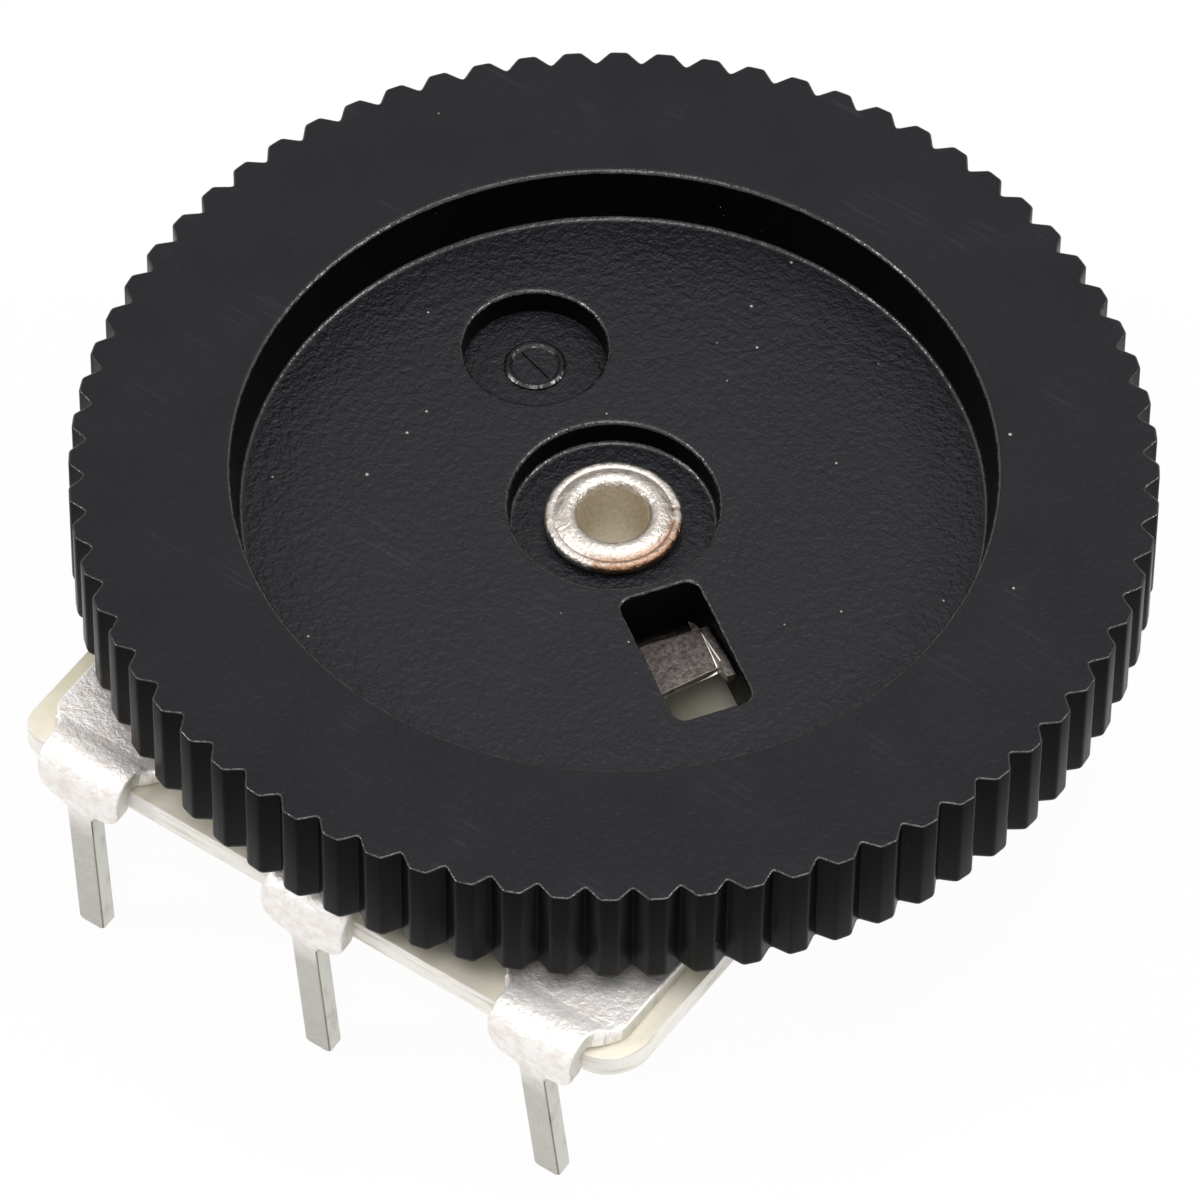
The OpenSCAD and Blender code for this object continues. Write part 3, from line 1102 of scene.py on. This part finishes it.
    def mark_cutter(self) -> Object:
        """Model the cutter of the mould mark's round pocket.

        Returns:
            A closed mesh.
        """
        outline = arc((-self.mark_reach, 0.0), self.mark_r, 0, 360, self.round_segments)[:-1]
        cutter = self.cutter(outline, -self.mark_reach, (2 * self.mark_r,) * 2, self.edge)
        pick(cutter, Pick.VERTICES, lambda v: v.co.z < self.bottom)
        bpy.ops.transform.translate(value=(0, 0, self.mark_floor - self.bottom + self.margin))
        deselect()
        return cutter

    def ejector_disc(self) -> Object:
        """Model the low disc in the mark, with a raised rim.

        Returns:
            A closed mesh.
        """
        top = self.mark_floor + self.disc_h
        middle = Vector((-self.mark_reach, 0, top))
        disc = cylinder(self.disc_r, self.disc_depth,
                        (-self.mark_reach, 0, top - self.disc_depth / 2), self.round_segments)
        pick(disc, Pick.FACES, lambda face: face.normal.z > 0.9)
        for width in self.disc_insets:
            bpy.ops.mesh.inset(thickness=width)
        bpy.ops.transform.translate(value=(0, 0, -self.disc_hollow))
        pick(disc, Pick.VERTICES, lambda v: v.co.z > top - NEAR
             and (v.co - middle).length > self.disc_r - NEAR)
        bpy.ops.transform.translate(value=(0, 0, -self.disc_bevel))
        deselect()
        return disc

    def scribe(self) -> Object:
        """Model the cutter of the line across the disc.

        Returns:
            A closed mesh.
        """
        deselect()
        bpy.ops.mesh.primitive_cube_add(size=1, location=(-self.mark_reach, 0, self.mark_floor))
        scribe = bpy.context.object
        scribe.scale = self.line_size
        scribe.rotation_euler.z = math.radians(self.line_angle)
        settle(scribe)
        return scribe

    def stop_rib(self) -> Object:
        """Spin the section of the rib under the dial, which turns clockwise.

        Returns:
            A closed mesh that reaches into the dial.
        """
        (inner, outer), root = self.rib, self.bottom + self.rib_overlap
        section = [(inner, self.rib_bottom), (outer, self.rib_bottom), (outer, root),
                   (inner, root)]
        rib = trace("stop_rib", upright(section, 180 + self.rib_half_angle), Line.FILLED)
        pick(rib, Pick.FACES)
        spin(self.rib_steps, 2 * self.rib_half_angle)
        weld(rib)
        return rib

    def break_top_edge(self, piece: Object) -> None:
        """Round the edge between the teeth and the top face.

        Args:
            piece: the dial, before its openings are cut.
        """
        root_r = self.radius - self.tooth_depth
        pick(piece, Pick.EDGES, lambda edge: all(
            end.z > self.top - NEAR and end.xy.length > root_r - NEAR
            for end in ends(piece, edge)))
        bpy.ops.mesh.bevel(offset=self.top_edge, segments=3, profile=0.5, clamp_overlap=False)

    def build(self, face: Material, flank: Material, edges: Material,
              floor: Material) -> None:
        """Model the whole dial and put it in the frame.

        Args:
            face: the finish of its faces.
            flank: the finish of the teeth, walls and lower rim, a darker black that paints their
                shade.
            edges: the finish of its rounded edges.
            floor: the finish inside the recess.
        """
        piece = self.rim_sector()
        pick(piece, Pick.FACES)
        spin(self.teeth - 1, 360 - self.pitch, copies=True)
        join(piece, turned("inner_faces", upright(self.inner_section(), self.tooth_phase),
                           Line.OPEN, self.teeth * self.inner_steps))
        weld(piece)
        self.break_top_edge(piece)
        for other, tool in ((self.window_cutter(), Tool.CUT), (self.mark_cutter(), Tool.CUT),
                            (self.ejector_disc(), Tool.ADD), (self.scribe(), Tool.CUT),
                            (self.stop_rib(), Tool.ADD)):
            combine(piece, other, tool)
        weld(piece)
        share_out(piece, self.finish_of)
        pick(piece, Pick.FACES, lambda face: abs(face.normal.z) > 0.9999)
        bpy.ops.mesh.region_to_loop()
        bpy.ops.mesh.mark_sharp()
        piece.rotation_euler.z = WHEEL_ANGLE
        self.placing.finish(piece, [face, flank, edges, floor])

    def finish_of(self, face: Face) -> int:
        """Say which of the dial's finishes a face has.

        Args:
            face: the face, before the dial is turned to its place.

        Returns:
            0 for ring and disc rim, 1 for a wall, flank or lower rim (the painted-shade black), 2
            for an edge, 3 for a floor.
        """
        level, height = abs(face.normal.z), face.center.z
        # upright faces and the lower rim take the darker black: painted shade
        if level < self.wall_level or height < self.bottom + self.rim_round - NEAR:
            return 1
        if level < self.edge_level:
            return 2
        on_disc = abs(height - self.mark_floor - self.disc_h) < NEAR
        return 3 if height < self.floor + NEAR and not on_disc else 0


@dataclass
class Rivet:
    """The hollow rivet: lower head, barrel and rolled upper flange, in millimetres.

    Attributes:
        crease: where the lip meets the flange, as radii and heights over the flange.
    """

    bore_r: float = 0.53
    barrel_r: float = 0.75
    flange_r: float = 1.03
    head_r: float = 1.3
    head_t: float = 0.22
    head_round: float = 0.08
    mouth_round: float = 0.04
    flange_z: float = 1.63
    rim_t: float = 0.2
    top: float = 1.91
    lip_round: float = 0.16
    crease: tuple[Pair, ...] = ((0.885, -0.018), (0.865, -0.006), (0.82, 0.026), (0.76, 0.058))
    bore_depth: float = 0.05
    bore_gap: float = 0.01
    segments: int = 128
    placing: Placing = Placing(Body.BASE, "rivet", "plated_rivet")

    def section(self) -> list[Pair]:
        """Half section of the rivet.

        Returns:
            Radius and height of each corner.
        """
        mouth, edge, rim, lip = self.mouth_round, self.head_round, self.rim_t / 2, self.lip_round
        return (arc((self.bore_r + mouth, mouth - self.head_t), mouth, 180, 270, 4)
                + arc((self.head_r - edge, edge - self.head_t), edge, -90, 0, 6)
                + [(self.head_r, 0.0), (self.barrel_r, 0.0), (self.barrel_r, self.flange_z)]
                + arc((self.flange_r - rim, self.flange_z + rim), rim, -90, 100, 16)
                + [(r, self.flange_z + self.rim_t + z) for r, z in self.crease]
                + arc((self.bore_r + lip, self.top - lip), lip, 90, 180, 12))

    def finish_of(self, face: Face) -> int:
        """Give 1 for the bore and 0 for the outside."""
        in_bore = face.center.xy.length < self.bore_r + self.bore_gap
        return int(in_bore and face.center.z < self.top - self.bore_depth)

    def build(self, plating: Material, bore: Material) -> None:
        """Model the rivet and put it in the frame.

        Args:
            plating: its finish outside.
            bore: its finish inside.
        """
        piece = turned("hollow_rivet", upright(self.section()), Line.CLOSED, self.segments)
        share_out(piece, self.finish_of)
        self.placing.finish(piece, [plating, bore], smooth_angle=50)


@dataclass
class Punched:
    """A punched flat piece, which keeps its CAD shape and gets rounded edges.

    Attributes:
        name: the finished piece's name.
        edge: how wide each edge's rounding is, in millimetres.
        level: the least upright part of a level face's normal.
        placing: how it joins the frame.
        sharp_angle: edges sharper than this many degrees are rounded.
    """

    name: str
    edge: float
    level: float
    placing: Placing
    sharp_angle: float = 35.0

    def softened_copy(self) -> Object:
        """Copy the CAD node in millimetres and round its sharp edges.

        Returns:
            The copy, at the origin.
        """
        select_only(frame["nodes"][self.placing.node])
        bpy.ops.object.duplicate(linked=False)
        piece = bpy.context.object
        piece.name = self.name
        bpy.ops.object.parent_clear(type="CLEAR_KEEP_TRANSFORM")
        for key in list(piece.keys()):
            if key.startswith("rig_"):
                del piece[key]
        piece.scale = (1 / MM,) * 3
        settle(piece)
        weld(piece)
        pick(piece, Pick.FACES)
        bpy.ops.mesh.dissolve_limited(angle_limit=math.radians(0.5))
        bpy.ops.mesh.select_mode(type="EDGE")
        bpy.ops.mesh.select_all(action="DESELECT")
        bpy.ops.mesh.edges_select_sharp(sharpness=math.radians(self.sharp_angle))
        bpy.ops.mesh.bevel(offset=self.edge, segments=2, profile=0.5, clamp_overlap=False)
        deselect()
        return piece

    def build(self, face: Material, cut: Material) -> None:
        """Round the punched edges, and give them their own finish.

        Args:
            face: the finish of the level faces.
            cut: the finish of the sheared edges.
        """
        piece = self.softened_copy()
        share_out(piece, lambda side: int(abs(side.normal.z) < self.level))
        self.placing.finish(piece, [face, cut])


@dataclass
class Board(Punched):
    """The laminate board."""

    name: str = "laminate_board"
    edge: float = 0.02
    level: float = 0.95
    placing: Placing = Placing(Body.BASE, "board", "laminate")


@dataclass
class Wiper(Punched):
    """The sprung wiper, of which the driving tongue shows in the window."""

    name: str = "wiper_spring"
    edge: float = 0.025
    level: float = 0.8
    placing: Placing = Placing(Body.DIAL, "wiper", "plated_spring")


@dataclass
class Terminal:
    """One terminal, stamped flat and then folded row by row, in millimetres.

    Attributes:
        side: its place in the row.
        x: the terminal's place along the row.
        base_z: the height of the sheet's underside.
        back_y: where its plate or head ends.
        burr_y: the place of its burr.
        lean: how far its leg leans back, in degrees.
        leg_start: how far below the skirt's depth the painted shade line along the burr starts.
        corner_sides: the sideways part of the normal where a corner starts and ends.
    """

    side: Side
    x: float
    base_z: float
    back_y: float
    burr_y: float
    lean: float
    sheet: float = 0.3
    plate_half: float = 1.05
    neck_half: float = 0.73
    back_corner: float = 0.25
    bend_y: float = -7.45
    widening: float = 0.65
    arch_r: float = 0.5
    arch_angle: float = 25.842
    bend_r: float = 0.25
    skirt: float = 0.54
    skirt_corner: float = 0.38
    leg_half: float = 0.23
    leg: float = 3.0
    leg_fillet: float = 0.14
    tip_cut: Pair = (0.05, 0.06)
    strip_half: float = 0.9
    ring_r: float = 1.58
    ring_hole_r: float = 0.77
    burr_r: float = 0.45
    burr_hole_r: float = 0.3
    burr_inset: float = 0.01
    flare_r: float = 0.68
    flare_t: float = 0.15
    flare_round: float = 0.06
    hole_segments: int = 48
    drill_depth: float = 4.0
    edge: float = 0.045
    sharp_angle: float = 40.0
    leg_start: float = 0.5
    corner_sides: Pair = (0.35, 0.93)

    @property
    def arch_start(self) -> float:
        """Where the flat plate ends and the arch starts, along Y."""
        return self.bend_y + 2 * self.arch_r * math.sin(math.radians(self.arch_angle))

    @property
    def bend_end(self) -> float:
        """Where the bend ends on the flat blank, along Y."""
        arch = 2 * self.arch_r * math.radians(self.arch_angle)
        return self.arch_start - arch - self.bend_r * math.radians(90 + self.lean)

    def folds(self) -> list[Pair]:
        """Rows at which the blank is folded, from the plate to the leg.

        Returns:
            Each row's place along Y, and its turn in degrees, above zero for down.
        """
        rows = []
        place = self.arch_start
        for radius, turn, steps in ((self.arch_r, -self.arch_angle, 5),
                                    (self.arch_r, self.arch_angle, 5),
                                    (self.bend_r, 90 + self.lean, 14)):
            step = radius * math.radians(abs(turn)) / steps
            rows += [(place - step * (i + 0.5), turn / steps) for i in range(steps)]
            place -= step * steps
        return rows

    def half_outline(self) -> list[Pair]:
        """Right side of the blank, from its back end to the leg's tip.

        Returns:
            X and Y of each corner.
        """
        back, corner, fillet = self.back_corner, self.skirt_corner, self.leg_fillet
        skirt_y = self.bend_end - self.skirt
        tip_y = skirt_y - self.leg
        widening = [(self.neck_half + (self.plate_half - self.neck_half)
                     * (1 + math.cos(math.pi * i / 10)) / 2,
                     self.bend_y + self.widening * (1 - i / 10)) for i in range(11)]
        return (arc((self.plate_half - back, self.back_y - back), back, 90, 0, 5) + widening
                + arc((self.neck_half - corner, skirt_y + corner), corner, 0, -70, 7)
                + arc((self.leg_half + fillet, skirt_y - fillet), fillet, 110, 180, 4)
                + [(self.leg_half, tip_y + self.tip_cut[1]),
                   (self.leg_half - self.tip_cut[0], tip_y)])

    def blank(self) -> Object:
        """Stamp the blank in the plane of the sheet's middle.

        Returns:
            One flat face.
        """
        right = self.half_outline()
        if self.side is Side.MIDDLE:
            start = -math.degrees(math.acos(self.strip_half / self.ring_r))
            ring = arc((0, 0), self.ring_r, 90, start, 22)
            right = ring + [(self.strip_half, self.back_y)] + right
        left = [(-x, y) for x, y in reversed(right) if abs(x) > 1e-6]
        return trace(f"terminal_{self.side.value}_sheet",
                     [(x, y, 0) for x, y in right + left], Line.FILLED)

    def fold(self, piece: Object) -> None:
        """Fold the blank, starting with the row nearest to the leg.

        Args:
            piece: the flat blank.
        """
        rows = self.folds()
        pick(piece, Pick.EDGES)
        for place, _ in rows:
            bpy.ops.mesh.select_all(action="SELECT")
            bpy.ops.mesh.bisect(plane_co=(0, place, 0), plane_no=(0, 1, 0))
        for place, turn in reversed(rows):
            pick(piece, Pick.VERTICES, lambda v: v.co.y < place - 1e-4 or v.co.z < -1e-4)
            bpy.ops.transform.rotate(value=-math.radians(turn), orient_axis="X",
                                     center_override=(0, place, 0))

    def burr(self) -> Object:
        """Model the drawn tube that is flared under the board.

        Its corners lie between those of the hole, so that the two never nearly meet.

        Returns:
            A closed ring at the burr's place.
        """
        top, bore = self.base_z + self.sheet / 2, self.burr_hole_r - self.burr_inset
        edge = self.flare_round
        section = ([(bore, top), (bore, -self.flare_t)]
                   + arc((self.flare_r - edge, edge - self.flare_t), edge, -90, 0, 4)
                   + [(self.flare_r, 0.0), (self.burr_r, 0.0), (self.burr_r, top)])
        ring = turned("burr", upright(section), Line.CLOSED, self.hole_segments)
        ring.location = (self.x, self.burr_y, 0)
        ring.rotation_euler.z = math.radians(180 / self.hole_segments)
        settle(ring)
        return ring

    def drill(self, piece: Object, radius: float, y: float) -> None:
        """Cut a round hole through the folded sheet, at a place along Y."""
        drill = cylinder(radius, self.drill_depth, (self.x, y, 0), self.hole_segments)
        combine(piece, drill, Tool.CUT)

    def build(self, tin: Material, cut: Material, burr_shade: Material) -> None:
        """Stamp, fold and thicken the terminal, and put it in the frame.

        Args:
            tin: the finish of the sheet's faces.
            cut: the finish of its cut edges.
            burr_shade: the finish of the leg's front corners, a darker line of painted shade along
                the burr.
        """
        piece = self.blank()
        self.fold(piece)
        piece.location = (self.x, 0, self.base_z + self.sheet / 2)
        settle(piece)
        apply_modifier(piece, "SOLIDIFY", thickness=self.sheet, offset=0.0,
                       use_even_offset=True)
        self.drill(piece, self.burr_hole_r, self.burr_y)
        if self.side is Side.MIDDLE:
            self.drill(piece, self.ring_hole_r, 0)
        apply_modifier(piece, "BEVEL", width=self.edge, segments=3, limit_method="ANGLE",
                       angle_limit=math.radians(self.sharp_angle), use_clamp_overlap=False)
        weld(piece)
        share_out(piece, self.finish_of)
        combine(piece, self.burr(), Tool.ADD)
        weld(piece)
        placing = Placing(Body.BASE, f"terminal_{self.side.value}", "tinned_sheet")
        placing.finish(piece, [tin, cut, burr_shade])

    def finish_of(self, face: Face) -> int:
        """Say which of the terminal's finishes a face has.

        Args:
            face: the face, before the burr is added.

        Returns:
            0 for the sheet, 1 for a cut edge and 2 for the painted shade line along the leg's
            burr.
        """
        start, end = self.corner_sides
        sideways = abs(face.normal.x)
        on_leg = face.center.z < self.base_z - self.skirt - self.leg_start
        # the leg's front corners take a darker colour: painted shade along the burr
        if on_leg and start < sideways < end and face.normal.y < 0:
            return 2
        return int(sideways > end)


@dataclass
class PrintedLayers:
    """The carbon track and silver pads, which keep their CAD shapes."""

    def build(self, carbon: Material, silver: Material) -> None:
        """Dress the printed layers.

        Args:
            carbon: the track's finish.
            silver: the pads' finish.
        """
        for node, ink in (("carbon_track", carbon), ("silver_pad_left", silver),
                          ("silver_pad_right", silver)):
            dress(frame["nodes"][node], [ink])
            log.info("%s: dressed", node)


# ---- studio ----


@dataclass(frozen=True)
class Softbox:
    """A square lamp that faces the dial. Lengths are in millimetres.

    Attributes:
        name: the lamp's name.
        across: how far it hangs to the right.
        towards: how far it hangs in front.
        height: how far it hangs above.
        size: its side.
        power: its power in watts.
    """

    name: str
    across: float
    towards: float
    height: float
    size: float
    power: float


@dataclass
class Studio:
    """Camera, floor, background and lamps. Lengths are in millimetres.

    Attributes:
        slide: how far the frame's middle lies left of and below the target.
        floor_glow: how much of the floor's look is plain white.
        fill: the background's strength as a light, where 1 is white.
    """

    target: Point = (-0.04, 0.0, 3.0)
    azimuth: float = 34.7
    elevation: float = 51.685
    roll: float = -0.744
    distance: float = 169.125
    slide: Pair = (0.149, 2.016)
    lens: float = 346.14
    clip: Pair = (10.0, 10000.0)
    floor_size: float = 4000.0
    floor_glow: float = 0.95
    fill: float = 0.34
    aim: Point = (0.0, 0.0, 1.0)
    lamps: tuple[Softbox, ...] = (
        Softbox("left_softbox", -180, 20, 155, 60, 0.18),
        Softbox("right_softbox", 180, 20, 155, 60, 0.18),
        Softbox("top_softbox", 40, -20, 260, 130, 0.25),
        Softbox("front_softbox", -20, 130, 230, 110, 0.165))

    def facing(self) -> Matrix:
        """The turn from the frame's axes to the camera's azimuth."""
        return Matrix.Rotation(math.radians(self.azimuth), 3, "Z")

    def add_camera(self) -> None:
        """Place the camera and make it the scene's."""
        turn = self.facing() @ Matrix.Rotation(math.radians(90 - self.elevation), 3, "X")
        across, up = self.slide
        place = Vector(self.target) + turn @ Vector((-across, -up, self.distance))
        turn = turn @ Matrix.Rotation(-math.radians(self.roll), 3, "Z")
        data = bpy.data.cameras.new("camera")
        data.lens, data.sensor_width = self.lens, 36.0
        data.clip_start, data.clip_end = self.clip[0] * MM, self.clip[1] * MM
        camera = bpy.data.objects.new("camera", data)
        bpy.context.scene.collection.objects.link(camera)
        camera.matrix_world = Matrix.Translation(place * MM) @ turn.to_4x4()
        bpy.context.scene.camera = camera
        log.info("camera: lens %.1f, %.1f mm away", self.lens, self.distance)

    def add_floor(self) -> None:
        """Lay a plain pale floor under the legs, which keeps the part's shadow."""
        deselect()
        bpy.ops.mesh.primitive_plane_add(size=self.floor_size * MM,
                                         location=(0, 0, CAD_BOX[0].z))
        floor = bpy.context.object
        floor.name = "studio_floor"
        material = bpy.data.materials.new("painted board, matt white")
        tree = empty_tree(material)
        paint = add_node(tree, "BsdfDiffuse", {"Color": linear("#f2f2f2")})
        glow = add_node(tree, "Emission", {"Strength": 1.0})
        share = add_node(tree, "Math", {
            "operation": "MULTIPLY", 1: self.floor_glow, 0: self.seen_ray(tree)})
        both = add_node(tree, "MixShader", {
            0: share.outputs[0], 1: paint.outputs[0], 2: glow.outputs[0]})
        add_node(tree, "OutputMaterial", {"Surface": both.outputs[0]})
        floor.data.materials.append(material)
        log.info("floor: at %.2f mm", CAD_BOX[0].z / MM)

    def seen_ray(self, tree: Tree) -> Socket:
        """Give 1 for camera, glossy and transmission rays, and 0 for the rest.

        Args:
            tree: the floor's or the world's node tree.

        Returns:
            The socket with that number.
        """
        path = add_node(tree, "LightPath")
        seen = path.outputs["Is Camera Ray"]
        for ray in ("Is Glossy Ray", "Is Transmission Ray"):
            seen = add_node(tree, "Math", {
                "operation": "MAXIMUM", 0: seen, 1: path.outputs[ray]}).outputs[0]
        return seen

    def add_world(self) -> None:
        """Give a white background, and a soft fill from all round."""
        world = bpy.data.worlds.new("studio")
        bpy.context.scene.world = world
        tree = empty_tree(world)
        strength = add_node(tree, "MapRange", {
            "To Min": self.fill, "To Max": 1.0, "Value": self.seen_ray(tree)})
        light = add_node(tree, "Background", {
            "Color": (1.0, 1.0, 1.0, 1.0), "Strength": strength.outputs[0]})
        add_node(tree, "OutputWorld", {"Surface": light.outputs[0]})

    def hang(self, lamp: Softbox) -> None:
        """Hang a softbox and turn it to the dial.

        Args:
            lamp: the softbox.
        """
        place = self.facing() @ Vector((lamp.across, -lamp.towards, lamp.height))
        data = bpy.data.lights.new(lamp.name, "AREA")
        data.shape, data.size, data.energy = "SQUARE", lamp.size * MM, lamp.power
        hung = bpy.data.objects.new(lamp.name, data)
        bpy.context.scene.collection.objects.link(hung)
        hung.location = place * MM
        hung.rotation_euler = (Vector(self.aim) - place).to_track_quat("-Z", "Y").to_euler()
        log.info("lamp %s: %.3f W", lamp.name, lamp.power)

    def build(self) -> None:
        """Set the whole studio up."""
        self.add_camera()
        self.add_floor()
        self.add_world()
        for lamp in self.lamps:
            self.hang(lamp)
        bpy.context.scene.view_settings.view_transform = "Standard"


def main() -> None:
    """Build the studio and every piece, and report each one."""
    logging.basicConfig(level=logging.INFO, format="%(name)s: %(message)s")
    Studio().build()
    tin = TinnedSheet("tin dip on brass sheet").build()
    cut = ShearedSheet("brass sheet sheared edge").build()
    # a darker copy of the cut edge's finish: painted shade along the legs' burr
    burr_shade = ShearedSheet("painted shade on sheet burr", "#8f8b80", "#6c685d", 0.55).build()
    Dial().build(MouldedBlack("PBT moulded black").build(),
                 # the second finish darkens flanks, walls and lower rim: painted shade
                 ShadedFlankBlack("PBT flank, painted shade").build(),
                 StonedBlack("PBT stoned edge").build(),
                 MouldedBlack("PBT coarse eroded floor", "#0f0f14", "#17171c",
                              specular=0.22, relief_mm=0.045, dust=Dust(share=0.06)).build())
    Rivet().build(PlatedRivet("nickel plate on rolled brass").build(),
                  SpringSheet("thin nickel plate in a bore", "#c3b8a3", "#ddd3bf", 0.5).build())
    # the wiper's faces take the dark default colours: painted shade
    Wiper().build(SpringSheet("nickel silver, painted shade").build(),
                  ShearedSheet("nickel silver sheared edge", "#e9e4db", "#a39c92", 0.36).build())
    Board().build(LaminateFace("epoxy laminate pressed face").build(),
                  LaminateEdge("epoxy laminate sheared edge").build())
    for terminal in (Terminal(Side.LEFT, -4.05, 0.43, -4.794, -5.904, 3.5),
                     Terminal(Side.MIDDLE, 0.0, 0.4, -5.9, -6.4, 6.0),
                     Terminal(Side.RIGHT, 4.05, 0.43, -4.794, -5.904, 8.0)):
        terminal.build(tin, cut, burr_shade)
    PrintedLayers().build(
        PrintedInk("resistor carbon print").build(),
        PrintedInk("silver paste print", "#b5b3ac", "#cfcdc6", 0.45, 0.7,
                   grain=Grain((1 / 0.05,) * 3, 3.0)).build())


if __name__ == "__main__":
    main()
